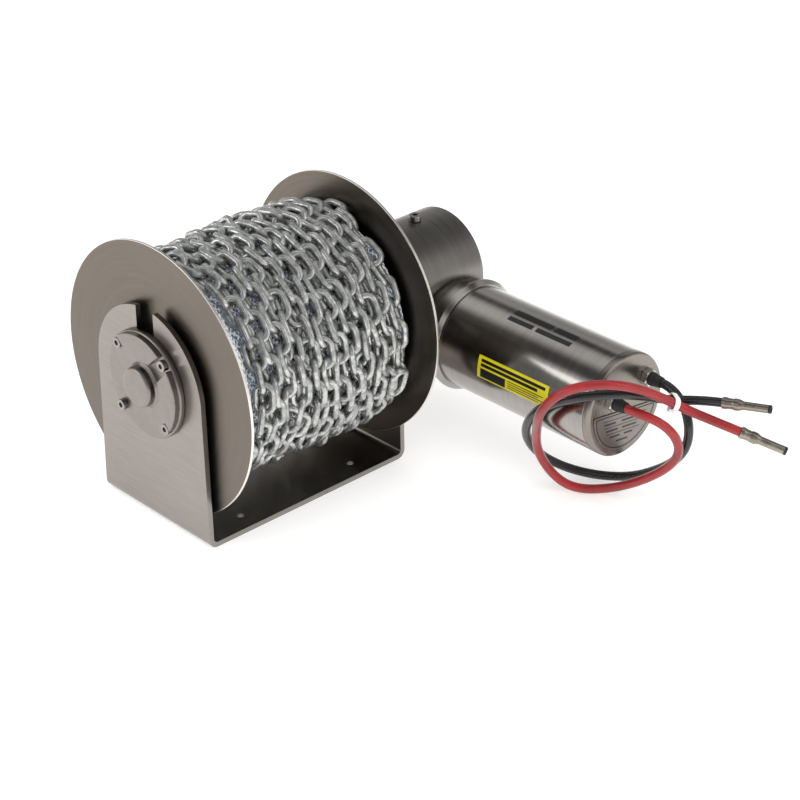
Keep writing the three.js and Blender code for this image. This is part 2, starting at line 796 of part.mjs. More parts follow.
// ---------------------------------------------------------------- armature line
function wormGear() {
  const turns = 6; // a whole number each side of the centre, where the wheel has a gap
  const perTurn = 12;
  const rings = [];
  for (let i = 0; i <= turns * perTurn; i += 1) {
    const angle = (2 * Math.PI * i) / perTurn;
    const x = TOOTH_PITCH * (i / perTurn - turns / 2);
    const fade = Math.min(1, i / 4, (turns * perTurn - i) / 4);
    const tip = 10.6 + 4.2 * Math.max(fade, 0.15);
    const section = [[10.2, -1.95], [tip, -0.75], [tip, 0.75], [10.2, 1.95]];
    rings.push(section.map(([radius, shift]) => (
      new THREE.Vector3(x + shift, radius * Math.sin(angle), radius * Math.cos(angle))
    )));
  }
  const core = turned([
    [MOTOR_SHAFT_R + GAP, -wormX],
    [9.5, -wormX],
    [10.7, -wormX + 1.2],
    [10.7, wormX - 1.2],
    [9.5, wormX],
    [MOTOR_SHAFT_R + GAP, wormX],
  ], 'x', 20);
  return join(core, loft(rings));
}

function armatureCore() {
  const slots = 12;
  const outline = [];
  for (let i = 0; i < slots; i += 1) {
    const mid = (2 * Math.PI * i) / slots;
    const tooth = Math.PI / slots;
    outline.push(...arcPoints(38, mid - tooth * 0.82, mid + tooth * 0.82, 3));
    outline.push(...arcPoints(34.5, mid + tooth * 0.82, mid + tooth * 0.6, 1));
    outline.push(...arcPoints(22, mid + tooth * 0.6, mid + tooth * 1.4, 1));
    outline.push(...arcPoints(34.5, mid + tooth * 1.4, mid + tooth * 1.18, 1));
  }
  return cut(slabYZ(polygon(outline), 106, 214), rod(MOTOR_SHAFT_R + GAP, 100, 220, 'x', 20));
}

function windingEnd(from, to, side) {
  const fat = side > 0 ? to : from;
  const thin = side > 0 ? from : to;
  return turned([
    [12, thin],
    [35, thin],
    [35, (thin * 2 + fat) / 3],
    [31, fat],
    [16, fat],
    [12, (thin + fat) / 2],
  ], 'x', 20);
}

function commutator() {
  const body = ring(MOTOR_SHAFT_R + GAP, 16.5, 226.5, 241, 'x', 24);
  const grooves = arcPoints(1, 0, 2 * Math.PI, 12).slice(0, 12).map(([u, v]) => (
    block(226, 242, -0.4, 0.4, 15.4, 18).rotateX(Math.atan2(v, u))
  ));
  return cut(body, ...grooves);
}

place(motorLine, 'motor_shaft', turned([
  [0, -43],
  [MOTOR_SHAFT_R - 0.8, -43],
  [MOTOR_SHAFT_R, -42],
  [MOTOR_SHAFT_R, capSeam],
  [MOTOR_SHAFT_R - 0.8, capSeam + 0.7],
  [0, capSeam + 0.7],
], 'x', 20), plainSteel);
place(motorLine, 'worm', wormGear(), plainSteel);
place(motorLine, 'armature_core', armatureCore(), plainSteel);
place(motorLine, 'winding_front', windingEnd(92, 105.7, -1), copper);
place(motorLine, 'winding_rear', windingEnd(214.3, 224, 1), copper);
place(motorLine, 'commutator', commutator(), copper);

// ---------------------------------------------------------------- end cap fittings
function glandNut() {
  const nut = slabYZ(hexagon(15), CAP_FACE_X + GAP, CAP_FACE_X + 6.5);
  return cut(nut, rod(4.6, CAP_FACE_X, CAP_FACE_X + 8, 'x', 16));
}

function boot() {
  return turned([
    [0, CAP_FACE_X + 7],
    [6.6, CAP_FACE_X + 7],
    [6.6, CAP_FACE_X + 10],
    [5.4, BOOT_END_X - 1],
    [5, BOOT_END_X],
    [0, BOOT_END_X],
  ], 'x', 16);
}

function namePlate() {
  const lean = THREE.MathUtils.degToRad(-8);
  const radius = 43.5;
  const chord = Math.asin(4 / radius);
  const outline = polygon(arcPoints(radius, Math.PI + chord + lean, 2 * Math.PI - chord + lean, 20));
  return slabYZ(outline, CAP_FACE_X + GAP, CAP_FACE_X + 1.1);
}

function tubeLabel() {
  const inner = TUBE_R + GAP;
  const outer = inner + 0.4;
  const start = THREE.MathUtils.degToRad(180 + 5);
  const end = THREE.MathUtils.degToRad(180 - 20);
  const outline = polygon([...arcPoints(outer, start, end, 8), ...arcPoints(inner, end, start, 8)]);
  return slabYZ(outline, 132, 221);
}

for (const [colour, [y, z]] of [['red', RED_EXIT], ['black', BLACK_EXIT]]) {
  place(motorLine, `gland_nut_${colour}`, glandNut(), screwSteel).position.set(0, y, z);
  place(motorLine, `boot_${colour}`, boot(), blackRubber).position.set(0, y, z);
}
place(motorLine, 'rating_plate', namePlate(), castCap);
place(motorLine, 'tube_label', tubeLabel(), yellowLabel);

// ---------------------------------------------------------------- power cables
// Control points of each cable's smooth route, from its boot to its connector. Each cable drops
// in one loop to the surface, comes up beside the motor and leaves through the tie.
const CABLE_ROUTES = {
  red: [
    [290, 192, 110], [304, 192, 110], [327, 207, 105], [334, 229, 62],
    [289, 219, 21], [255, 205, 4], [227, 180, 4], [204, 165, 42],
    [220, 151, 77], [238, 130, 108], [262, 136, 142], [296, 168, 148],
    [310, 206, 128], [331, 228, 110], [355, 241, 103], [372, 252, 96],
  ],
  black: [
    [290, 240, 118], [306, 240, 118], [329, 236, 101], [330, 234, 60],
    [289, 233, 26], [258, 233, 7], [221, 217, 2], [196, 187, 20],
    [194, 161, 53], [211, 147, 86], [239, 143, 115], [277, 157, 132],
    [296, 190, 129], [311, 225, 113], [332, 244, 116], [350, 252, 117],
  ],
};

function routeCurve(points) {
  const degree = 3;
  const inner = points.length - degree;
  const knots = [
    ...Array(degree).fill(0),
    ...Array.from({ length: inner + 1 }, (_, i) => i / inner),
    ...Array(degree).fill(1),
  ];
  return new NURBSCurve(degree, knots, points.map(([x, y, z]) => new THREE.Vector4(x, y, z, 1)));
}

function cable(curve) {
  const section = polygon(arcPoints(CABLE_R, 0, 2 * Math.PI, 8).slice(0, 8));
  return new THREE.ExtrudeGeometry(section, {
    steps: CABLE_STEPS,
    bevelEnabled: false,
    extrudePath: curve,
  });
}

// Crimped butt connector along +X, its crimp on the cable's end at x = 0.
function buttConnector() {
  return turned([
    [0, GAP],
    [CRIMP_R, GAP],
    [CRIMP_R, CRIMP_LENGTH - 3],
    [BARREL_R, CRIMP_LENGTH],
    [BARREL_R, CONNECTOR_LENGTH],
    [BARREL_R - 1.3, CONNECTOR_LENGTH],
    [BARREL_R - 1.3, CONNECTOR_LENGTH - 12],
    [0, CONNECTOR_LENGTH - 12],
  ], 'x', 16);
}

// Nylon tie round the two cables where they leave the loop side by side.
function cableTie() {
  const [first, second] = TIE_STRANDS.map((point) => new THREE.Vector3(...point));
  const across = second.clone().sub(first);
  const span = across.length();
  const along = new THREE.Vector3(...TIE_DIRECTION).normalize();
  const up = along.clone().cross(across).normalize();
  const racetrack = (radius) => polygon([
    ...arcPoints(radius, Math.PI / 2, (3 * Math.PI) / 2, 8),
    ...arcPoints(radius, -Math.PI / 2, Math.PI / 2, 8, span),
  ]);
  const inner = CABLE_R + 0.8;
  const outer = inner + TIE_T;
  const band = extruded(racetrack(outer), TIE_WIDTH, 0);
  const opening = extruded(racetrack(inner), TIE_WIDTH + 2, 0).translate(0, 0, -1);
  const head = block(span / 2 - 3.5, span / 2 + 3.5, outer - 0.5, outer + 3.5, -0.6, TIE_WIDTH + 0.6);
  const place3 = new THREE.Matrix4().makeBasis(across.normalize(), up, along);
  place3.setPosition(first.addScaledVector(along, -TIE_WIDTH / 2));
  return cut(join(band, head), opening).applyMatrix4(place3);
}

place(windlass, 'cable_tie', cableTie(), whiteNylon);
for (const [colour, points] of Object.entries(CABLE_ROUTES)) {
  const curve = routeCurve(points);
  place(windlass, `power_cable_${colour}`, cable(curve), colour === 'red' ? redVinyl : blackVinyl);
  const connector = place(windlass, `connector_${colour}`, buttConnector(), tinned);
  connector.position.copy(curve.getPoint(1));
  connector.quaternion.setFromUnitVectors(new THREE.Vector3(1, 0, 0), curve.getTangent(1));
}

export default windlass;
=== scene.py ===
"""Looks of the anchor windlass: smooth detailed pieces and procedural materials on the CAD frame.

Lengths in the tables are millimetres. Everything is built in the CAD frame: +Z up, +Y along the
drum axis from the bearing cap to the gearbox, +X towards the motor's free end.
"""
import math

import bmesh
import bpy
import numpy as np
from mathutils import Matrix, Vector


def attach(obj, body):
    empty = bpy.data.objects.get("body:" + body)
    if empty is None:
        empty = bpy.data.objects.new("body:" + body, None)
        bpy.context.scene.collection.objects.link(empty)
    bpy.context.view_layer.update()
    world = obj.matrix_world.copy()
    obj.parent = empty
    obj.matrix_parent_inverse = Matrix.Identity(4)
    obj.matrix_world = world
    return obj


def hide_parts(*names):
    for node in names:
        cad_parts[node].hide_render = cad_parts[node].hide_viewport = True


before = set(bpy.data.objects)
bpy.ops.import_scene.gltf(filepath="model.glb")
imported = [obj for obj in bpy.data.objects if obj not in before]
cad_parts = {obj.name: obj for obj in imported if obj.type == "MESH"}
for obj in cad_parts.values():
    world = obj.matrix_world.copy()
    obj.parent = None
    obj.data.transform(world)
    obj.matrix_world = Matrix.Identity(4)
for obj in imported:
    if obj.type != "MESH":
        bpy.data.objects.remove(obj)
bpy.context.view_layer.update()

MM = 0.001
TAU = 2 * math.pi
rng = np.random.default_rng(7)
scene = bpy.context.scene

# ---------------------------------------------------------------- dimensions shared with the CAD
AXIS_Z = 141.0
BRACKET_X = 153.0
HEAD_R = 73.5
BRACKET_Y = 241.0
PLATE_T = 5.0
CAP_BACK = -120.8
FLANGE_R = 130.0
FLANGE_NEAR = (-110.5, -108.0)  # Y of the outer and inner face
FLANGE_FAR = (113.6, 111.1)
GEAR_R = 55.0
GEAR_NEAR = 120.8
GEAR_FAR = 248.2
LID_FACE = 245.6
LID_SCREW_R = 42.5
PLUG_Y = 208
PLUG_TOP = 202
MOTOR = (213.0, 98.0)  # Y and Z of the motor's axis
TUBE_R = 50.8
TUBE_START, TUBE_END = 80.3, 263.5
CAP_FACE = 271.0
CABLE_R = 4.4
CHAIN_WIRE_R = 3.2
LINK_LENGTH, LINK_WIDTH = 33, 22
LINK_STEP = 20.3  # between the middles of two links that hold each other
END_LINK_R, END_LINK_Y, END_TURN = 113, 82, 0.3
ROPE_R = 3.7
ROPE_PITCH = 7.4
SCREW_SPACING = 31.5  # from the drum's axis to a bearing cap screw, along X and along Z
FOOT_HOLE_X, FOOT_HOLE_Y = 56, 68
SHARP_ANGLE = 38


# ---------------------------------------------------------------- camera
def make_camera():
    """Long lens, from between the bearing cap's side and the motor's free end."""
    azimuth, elevation, roll = (math.radians(a) for a in (46.46, 28.86, -0.21))
    shift_right, shift_up, distance = 135.44, 67.73, 2080.38
    right = Vector((math.cos(azimuth), math.sin(azimuth), 0))
    back = Vector((math.sin(azimuth) * math.cos(elevation),
                   -math.cos(azimuth) * math.cos(elevation), math.sin(elevation)))
    up = back.cross(right)
    right, up = (right * math.cos(roll) + up * math.sin(roll),
                 up * math.cos(roll) - right * math.sin(roll))
    data = bpy.data.cameras.new("camera")
    data.sensor_width = 36
    data.lens = 98.34
    data.clip_start = 0.05
    camera = bpy.data.objects.new("camera", data)
    place = (right * shift_right + up * shift_up + back * distance) * MM
    turn = Matrix((right, up, back)).transposed().to_4x4()
    camera.matrix_world = Matrix.Translation(place) @ turn
    scene.collection.objects.link(camera)
    scene.camera = camera


make_camera()


# ---------------------------------------------------------------- mesh helpers
def link(obj):
    scene.collection.objects.link(obj)
    return obj


def face_outward(obj):
    """Turns every face of a closed mesh to the outside."""
    shape = bmesh.new()
    shape.from_mesh(obj.data)
    bmesh.ops.recalc_face_normals(shape, faces=shape.faces)
    shape.to_mesh(obj.data)
    shape.free()
    return obj


def mesh_object(name, verts, faces, fix=True):
    """Mesh object from vertices in millimetres, with doubled points joined unless told not to."""
    mesh = bpy.data.meshes.new(name)
    mesh.from_pydata((np.asarray(verts, float) * MM).tolist(), [], faces)
    if fix:
        shape = bmesh.new()
        shape.from_mesh(mesh)
        bmesh.ops.remove_doubles(shape, verts=shape.verts, dist=1e-6)
        bmesh.ops.recalc_face_normals(shape, faces=shape.faces)
        shape.to_mesh(mesh)
        shape.free()
    mesh.update()
    return link(bpy.data.objects.new(name, mesh))


def to_axis(axis, radial_a, radial_b, along):
    """A point round an axis as (x, y, z)."""
    if axis == "x":
        return (along, radial_a, radial_b)
    if axis == "y":
        return (radial_b, along, radial_a)
    return (radial_a, radial_b, along)


def rounded(points, radius, steps=4):
    """Closed outline with its corners rounded. A point may carry its own radius in third place."""
    straight, longest = 3.1, 0.49  # radians of a corner left alone, share of a side taken up
    out = []
    count = len(points)
    for i, point in enumerate(points):
        own = point[2] if len(point) > 2 else radius
        a, b, c = (Vector(p[:2]) for p in (points[i - 1], point, points[(i + 1) % count]))
        u, v = a - b, c - b
        if own <= 0 or u.length < 1e-6 or v.length < 1e-6 or u.angle(v) > straight:
            out.append(tuple(b))
            continue
        reach = min(own / math.tan(u.angle(v) / 2), longest * u.length, longest * v.length)
        start, end = b + u.normalized() * reach, b + v.normalized() * reach
        for k in range(steps + 1):
            t = k / steps
            out.append(tuple(start * (1 - t) ** 2 + b * (2 * t * (1 - t)) + end * t ** 2))
    return out


def lathe(name, profile, axis="y", centre=(0.0, 0.0), segments=96, edge=0.4, steps=4):
    """Solid of revolution. The profile lists (radius, along); centre is the axis's place."""
    ready = [p if p[0] > 1e-6 else (0.0, p[1], 0) for p in profile]
    outline = rounded(ready, edge, steps)
    verts, rings = [], []
    for radius, along in outline:
        if radius < 1e-6:
            rings.append([len(verts)] * segments)
            verts.append(to_axis(axis, 0, 0, along))
            continue
        rings.append(list(range(len(verts), len(verts) + segments)))
        for k in range(segments):
            angle = TAU * k / segments
            verts.append(to_axis(axis, radius * math.cos(angle), radius * math.sin(angle), along))
    faces = []
    for a, b in zip(rings, rings[1:] + rings[:1]):
        for k in range(segments):
            m = (k + 1) % segments
            face = list(dict.fromkeys((a[k], a[m], b[m], b[k])))
            if len(face) > 2:
                faces.append(face)
    u, v = centre
    offset = {"x": (0, u, v), "y": (u, 0, v), "z": (u, v, 0)}[axis]
    return mesh_object(name, np.array(verts) + np.array(offset, float), faces)


def on_drum(name, profile, **options):
    return lathe(name, profile, "y", (0.0, AXIS_Z), **options)


def on_motor(name, profile, **options):
    return lathe(name, profile, "x", MOTOR, **options)


def prism(name, outline, plane, low, high):
    """Outline drawn in a plane (xz, yz or xy) and pulled from low to high."""
    def at(u, v, w):
        return {"xz": (u, w, v), "yz": (w, u, v), "xy": (u, v, w)}[plane]
    count = len(outline)
    verts = [at(p[0], p[1], low) for p in outline] + [at(p[0], p[1], high) for p in outline]
    faces = [list(range(count)), list(range(count, 2 * count))]
    faces += [[i, (i + 1) % count, (i + 1) % count + count, i + count] for i in range(count)]
    return mesh_object(name, verts, faces)


def arc(radius, start, end, steps, u=0.0, v=0.0):
    """Points on an arc, angles in degrees."""
    angles = [math.radians(start + (end - start) * i / steps) for i in range(steps + 1)]
    return [(u + radius * math.cos(a), v + radius * math.sin(a)) for a in angles]


def hexagon(flats, u, v, turn=0.0):
    return arc(flats / math.sqrt(3), turn, turn + 300, 5, u, v)


def square_of(half):
    return [(-half, half), (half, half), (half, -half), (-half, -half)]


def apply_modifiers(obj):
    graph = bpy.context.evaluated_depsgraph_get()
    mesh = bpy.data.meshes.new_from_object(obj.evaluated_get(graph))
    obj.modifiers.clear()
    old, obj.data = obj.data, mesh
    bpy.data.meshes.remove(old)


def combine(base, operation, *tools):
    """Exact boolean of a base with each tool in turn. The tools are used up."""
    for tool in tools:
        step = base.modifiers.new("boolean", "BOOLEAN")
        step.operation = operation
        step.solver = "EXACT"
        step.object = tool
        apply_modifiers(base)
        mesh = tool.data
        bpy.data.objects.remove(tool)
        bpy.data.meshes.remove(mesh)
    return base


def cut(base, *tools):
    return combine(base, "DIFFERENCE", *tools)


def merge(*objects):
    """Joins objects into the first one, without a boolean."""
    first = objects[0]
    shape = bmesh.new()
    for obj in objects:
        shape.from_mesh(obj.data)
    shape.to_mesh(first.data)
    shape.free()
    for obj in objects[1:]:
        mesh = obj.data
        bpy.data.objects.remove(obj)
        bpy.data.meshes.remove(mesh)
    return first


def soften(obj, width, segments, angle):
    """Rounds the edges of a piece that are sharper than an angle in degrees."""
    step = obj.modifiers.new("bevel", "BEVEL")
    step.width = width * MM
    step.segments = segments
    step.limit_method = "ANGLE"
    step.angle_limit = math.radians(angle)
    step.use_clamp_overlap = True
    step.miter_outer = "MITER_ARC"
    apply_modifiers(obj)
    return obj


def finish_piece(obj, material, body, slot, *nodes, smooth=True):
    """Gives a piece its material, shading and body, and hides the CAD nodes it stands for. The slot
    is not used.
    """
    mesh = obj.data
    mesh.materials.clear()
    mesh.materials.append(material)
    if smooth:
        mesh.shade_smooth()
        mesh.set_sharp_from_angle(angle=math.radians(SHARP_ANGLE))
        weight = obj.modifiers.new("weighted", "WEIGHTED_NORMAL")
        weight.keep_sharp = True
        weight.weight = 60
    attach(obj, body)
    if nodes:
        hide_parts(*nodes)
    return obj


# ---------------------------------------------------------------- material helpers
SKIN_DEPTH = 0.0001  # metres of relief in the bump of a smooth surface


def srgb(hex_code):
    """Linear colour of a hex code."""
    value = [int(hex_code[i:i + 2], 16) / 255 for i in (0, 2, 4)]
    return tuple(c / 12.92 if c < 0.04045 else ((c + 0.055) / 1.055) ** 2.4 for c in value) + (1.0,)


class Mat:
    """A Principled material and short calls for its nodes."""

    def __init__(self, name, metallic=0.0, roughness=0.5, **sockets):
        self.material = bpy.data.materials.new(name)
        self.material.use_nodes = True
        self.tree = self.material.node_tree
        self.shader = self.tree.nodes["Principled BSDF"]
        self.shader.inputs["Metallic"].default_value = metallic
        self.shader.inputs["Roughness"].default_value = roughness
        for key, value in sockets.items():
            self.shader.inputs[key.replace("_", " ")].default_value = value

    def node(self, kind, **settings):
        made = self.tree.nodes.new(kind)
        for key, value in settings.items():
            setattr(made, key, value)
        return made

    def wire(self, output, target):
        self.tree.links.new(output, target)

    def math(self, operation, *values):
        made = self.node("ShaderNodeMath", operation=operation)
        for value, socket in zip(values, made.inputs):
            if isinstance(value, (int, float)):
                socket.default_value = value
            else:
                self.wire(value, socket)
        return made.outputs[0]

    def coords(self, scale=(1, 1, 1)):
        source = self.node("ShaderNodeTexCoord").outputs["Object"]
        mapping = self.node("ShaderNodeMapping")
        mapping.inputs["Scale"].default_value = scale
        self.wire(source, mapping.inputs["Vector"])
        return mapping.outputs["Vector"]

    def around(self, axis, centre, scale):
        """Coordinates (distance from an axis, place along it, angle), each times its scale."""
        parts = self.node("ShaderNodeSeparateXYZ")
        self.wire(self.node("ShaderNodeTexCoord").outputs["Object"], parts.inputs[0])
        names = {"x": ("Y", "Z", "X"), "y": ("X", "Z", "Y")}[axis]
        u = self.math("SUBTRACT", parts.outputs[names[0]], centre[0] * MM)
        v = self.math("SUBTRACT", parts.outputs[names[1]], centre[1] * MM)
        square = self.math("ADD", self.math("MULTIPLY", u, u), self.math("MULTIPLY", v, v))
        joined = self.node("ShaderNodeCombineXYZ")
        self.wire(self.math("MULTIPLY", self.math("SQRT", square), scale[0]), joined.inputs[0])
        self.wire(self.math("MULTIPLY", parts.outputs[names[2]], scale[1]), joined.inputs[1])
        self.wire(self.math("MULTIPLY", self.math("ARCTAN2", v, u), scale[2]), joined.inputs[2])
        return joined.outputs[0]

    def noise(self, vector, scale, detail, rough):
        made = self.node("ShaderNodeTexNoise")
        made.inputs["Scale"].default_value = scale
        made.inputs["Detail"].default_value = detail
        made.inputs["Roughness"].default_value = rough
        self.wire(vector, made.inputs["Vector"])
        return made.outputs["Fac"]

    def span(self, value, low, high, start=0.3, end=0.7):
        made = self.node("ShaderNodeMapRange")
        made.inputs["From Min"].default_value = start
        made.inputs["From Max"].default_value = end
        made.inputs["To Min"].default_value = low
        made.inputs["To Max"].default_value = high
        self.wire(value, made.inputs["Value"])
        return made.outputs["Result"]

    def blend(self, factor, first, second):
        made = self.node("ShaderNodeMix", data_type="RGBA")
        self.wire(factor, made.inputs["Factor"])
        for value, socket in ((first, made.inputs[6]), (second, made.inputs[7])):
            if isinstance(value, tuple):
                socket.default_value = value
            else:
                self.wire(value, socket)
        return made.outputs[2]

    def colour(self, output):
        self.wire(output, self.shader.inputs["Base Color"])
        return self

    def rough(self, output):
        self.wire(output, self.shader.inputs["Roughness"])
        return self

    def bump(self, height, strength, distance):
        made = self.node("ShaderNodeBump")
        made.inputs["Strength"].default_value = strength
        made.inputs["Distance"].default_value = distance
        self.wire(height, made.inputs["Height"])
        self.wire(made.outputs["Normal"], self.shader.inputs["Normal"])
        return self


def metal(name, dark, light, rough, vector, scale, bump, blotch=8.0):
    """Metal with a fine grain along the given coordinates and slow changes of tone over it."""
    made = Mat(name, metallic=1.0)
    grain = made.noise(vector(made) if vector else made.coords(), scale, 5.0, 0.6)
    slow = made.noise(made.coords(), blotch, 3.0, 0.5)
    both = made.math("ADD", made.math("MULTIPLY", grain, 0.5), made.math("MULTIPLY", slow, 0.5))
    made.colour(made.blend(made.span(both, 0.0, 1.0, 0.36, 0.64), srgb(dark), srgb(light)))
    made.rough(made.span(both, rough[0], rough[1], 0.35, 0.65))
    return made.bump(grain, bump, SKIN_DEPTH).material


def brushed(scale):
    """Grain along the object's own axes."""
    return lambda made: made.coords(scale)


def turned(axis, centre, scale):
    """Grain round an axis."""
    return lambda made: made.around(axis, centre, scale)


DRUM_AXIS = (0.0, AXIS_Z)


def disc_steel_with_rim_highlight():
    """Turned steel disc, with a painted highlight on its rim: the rim is coloured far paler than
    the faces.
    """
    made = Mat("flange_steel", metallic=1.0)
    grain = made.noise(turned("y", DRUM_AXIS, (500, 20, 1.2))(made), 1.0, 5.0, 0.6)
    slow = made.noise(made.coords(), 6, 3.0, 0.5)
    both = made.math("ADD", made.math("MULTIPLY", grain, 0.5), made.math("MULTIPLY", slow, 0.5))
    parts = made.node("ShaderNodeSeparateXYZ")
    made.wire(made.around("y", DRUM_AXIS, (1, 1, 1)), parts.inputs[0])
    # Painted highlight: the rim, the last 0.8 mm of radius, is blended to near white (efebe5).
    rim = made.span(parts.outputs["X"], 0, 1, (FLANGE_R - 0.8) * MM, (FLANGE_R - 0.4) * MM)
    face = made.blend(made.span(both, 0.0, 1.0, 0.36, 0.64), srgb("6c645c"), srgb("787069"))
    made.colour(made.blend(rim, face, srgb("efebe5")))
    made.rough(made.span(both, 0.32, 0.40, 0.35, 0.65))
    return made.bump(grain, 0.02, SKIN_DEPTH).material


flange_steel = disc_steel_with_rim_highlight()
plate_steel = metal("plate_steel", "8e8883", "9a948f", (0.27, 0.33), brushed((30, 400, 400)),
                    1.0, 0.015)
cast_steel = metal("cast_steel", "857f7a", "918b86", (0.26, 0.33), None, 180, 0.02, 12)
gear_steel = metal("gear_steel", "7f7b77", "918d89", (0.25, 0.33),
                   turned("y", DRUM_AXIS, (30, 300, 1.0)), 1.0, 0.03, 6)
tube_steel = metal("tube_steel", "a09c98", "b0aca8", (0.15, 0.21),
                   turned("x", MOTOR, (30, 260, 1.0)), 1.0, 0.02, 7)
end_steel = metal("end_steel", "857f78", "928c85", (0.22, 0.30),
                  turned("x", MOTOR, (420, 60, 1.0)), 1.0, 0.03, 12)
screw_steel = metal("screw_steel", "8f8c88", "a3a09c", (0.24, 0.34), None, 500, 0.05, 60)
bright_zinc = metal("bright_zinc", "c9c6c1", "dddad5", (0.30, 0.42), None, 400, 0.05, 60)
machined_steel = metal("machined_steel", "85878a", "9fa1a3", (0.3, 0.45), None, 300, 0.08, 30)
polished_steel = metal("polished_steel", "b5b2ae", "c6c3bf", (0.1, 0.2), None, 200, 0.03, 30)
bronze = metal("bronze", "9a7436", "c09a58", (0.3, 0.45), None, 250, 0.08, 30)
copper = metal("copper", "96532c", "c07a4a", (0.3, 0.42), brushed((700, 90, 90)), 1.0, 0.25, 30)
tinned_metal = metal("tinned_metal", "857c72", "a89f94", (0.22, 0.36), None, 260, 0.12, 50)


def galvanised(name, dark, light):
    """Zinc coat: pale, a little grainy, with duller spots."""
    made = Mat(name, metallic=0.85)
    fine = made.noise(made.coords(), 900, 4.0, 0.6)
    spots = made.noise(made.coords(), 160, 3.0, 0.55)
    made.colour(made.blend(made.span(spots, 0, 1, 0.38, 0.62), srgb(dark), srgb(light)))
    made.rough(made.span(spots, 0.36, 0.22, 0.35, 0.65))
    return made.bump(fine, 0.25, 0.0002).material


chain_zinc = galvanised("chain_zinc", "9fa1a0", "cdcecc")


def plastic(name, dark, light, rough, scale, bump, **sockets):
    """Plastic, rubber, ink or ceramic: slow changes of tone under a fine grain."""
    made = Mat(name, **sockets)
    fine = made.noise(made.coords(), scale, 4.0, 0.6)
    slow = made.noise(made.coords(), 40, 2.0, 0.5)
    made.colour(made.blend(made.span(slow, 0, 1), srgb(dark), srgb(light)))
    made.rough(made.span(fine, rough[0], rough[1]))
    return made.bump(fine, bump, SKIN_DEPTH).material


red_vinyl = plastic("red_vinyl", "7c171a", "981f23", (0.26, 0.38), 700, 0.08, Coat_Weight=0.3)
black_vinyl = plastic("black_vinyl", "0c0c0e", "1b1b1e", (0.22, 0.34), 700, 0.08, Coat_Weight=0.3)
black_rubber = plastic("black_rubber", "0e0e0f", "1e1e20", (0.45, 0.6), 900, 0.2)
white_nylon = plastic("white_nylon", "d9d9d4", "f0f0ec", (0.32, 0.45), 500, 0.05,
                      Subsurface_Weight=0.15)
yellow_label = plastic("yellow_label", "c4b714", "d6c91e", (0.3, 0.4), 300, 0.03, Coat_Weight=0.4)
print_ink = plastic("print_ink", "060607", "121214", (0.3, 0.42), 800, 0.1)
# Dark matte material of the motor's carbon brushes, also used as painted shade inside the
# connectors' barrels.
carbon = plastic("carbon", "1c1c1f", "2c2c30", (0.55, 0.7), 900, 0.3)
ferrite = plastic("ferrite", "2f2f33", "424248", (0.6, 0.75), 700, 0.3)


def rope_material():
    """Braided rope: white strands crossed by blue tracers, with painted shade in the grooves
    between strands, in the tube's own UV.
    """
    strand, starts = 0.0062, 4  # metres between crossings, tracers round the rope
    made = Mat("rope", roughness=0.85, Sheen_Weight=0.3)
    parts = made.node("ShaderNodeSeparateXYZ")
    made.wire(made.node("ShaderNodeTexCoord").outputs["UV"], parts.inputs[0])
    along = made.math("MULTIPLY", parts.outputs["X"], TAU / strand)
    round_ = made.math("MULTIPLY", parts.outputs["Y"], TAU * starts)
    left = made.math("SINE", made.math("ADD", along, round_))
    right = made.math("SINE", made.math("SUBTRACT", along, round_))
    braid = made.math("MAXIMUM", left, right)
    tracer = made.math("SINE", made.math("ADD", made.math("MULTIPLY", along, 0.5), round_))
    # Painted shade: where the braid is low, between the strands, it is coloured grey; where it is
    # high, white.
    braid_with_groove_shade = made.blend(made.span(braid, 0, 1, -0.2, 0.7), srgb("76808a"), srgb("eceef0"))
    made.colour(made.blend(made.span(tracer, 0, 1, 0.55, 0.8), braid_with_groove_shade, srgb("6f8fb8")))
    return made.bump(braid, 0.9, 0.0012).material


rope = rope_material()


# ---------------------------------------------------------------- power cables
CABLE_ROUTES = {  # control points of each cable's smooth route, as in the CAD
    "red": ((290, 192, 110), (304, 192, 110), (327, 207, 105), (334, 229, 62),
            (289, 219, 21), (255, 205, 4), (227, 180, 4), (204, 165, 42),
            (220, 151, 77), (238, 130, 108), (262, 136, 142), (296, 168, 148),
            (310, 206, 128), (331, 228, 110), (355, 241, 103), (372, 252, 96)),
    "black": ((290, 240, 118), (306, 240, 118), (329, 236, 101), (330, 234, 60),
              (289, 233, 26), (258, 233, 7), (221, 217, 2), (196, 187, 20),
              (194, 161, 53), (211, 147, 86), (239, 143, 115), (277, 157, 132),
              (296, 190, 129), (311, 225, 113), (332, 244, 116), (350, 252, 117)),
}


def cable(colour, material):
    """Power lead: a round cord along its route, kept as a curve."""
    points = CABLE_ROUTES[colour]
    curve = bpy.data.curves.new(f"power_lead_{colour}", "CURVE")
    curve.dimensions = "3D"
    curve.bevel_depth = CABLE_R * MM
    curve.bevel_resolution = 6
    curve.resolution_u = 16
    curve.use_fill_caps = True
    spline = curve.splines.new("NURBS")
    spline.points.add(len(points) - 1)
    for point, place in zip(spline.points, points):
        point.co = (*(c * MM for c in place), 1.0)
    spline.order_u = 4  # cubic
    spline.use_endpoint_u = True
    curve.materials.append(material)
    obj = link(bpy.data.objects.new(f"power_lead_{colour}", curve))
    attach(obj, "frame")
    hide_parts(f"power_cable_{colour}")
    return obj


def on_cable_end(colour, obj):
    """Puts a piece built along +X at a cable's end, in line with it."""
    before, tip = (Vector(p) for p in CABLE_ROUTES[colour][-2:])
    direction = (tip - before).normalized()
    turn = Vector((1, 0, 0)).rotation_difference(direction).to_matrix().to_4x4()
    obj.data.transform(Matrix.Translation(tip * MM) @ turn)
    return obj


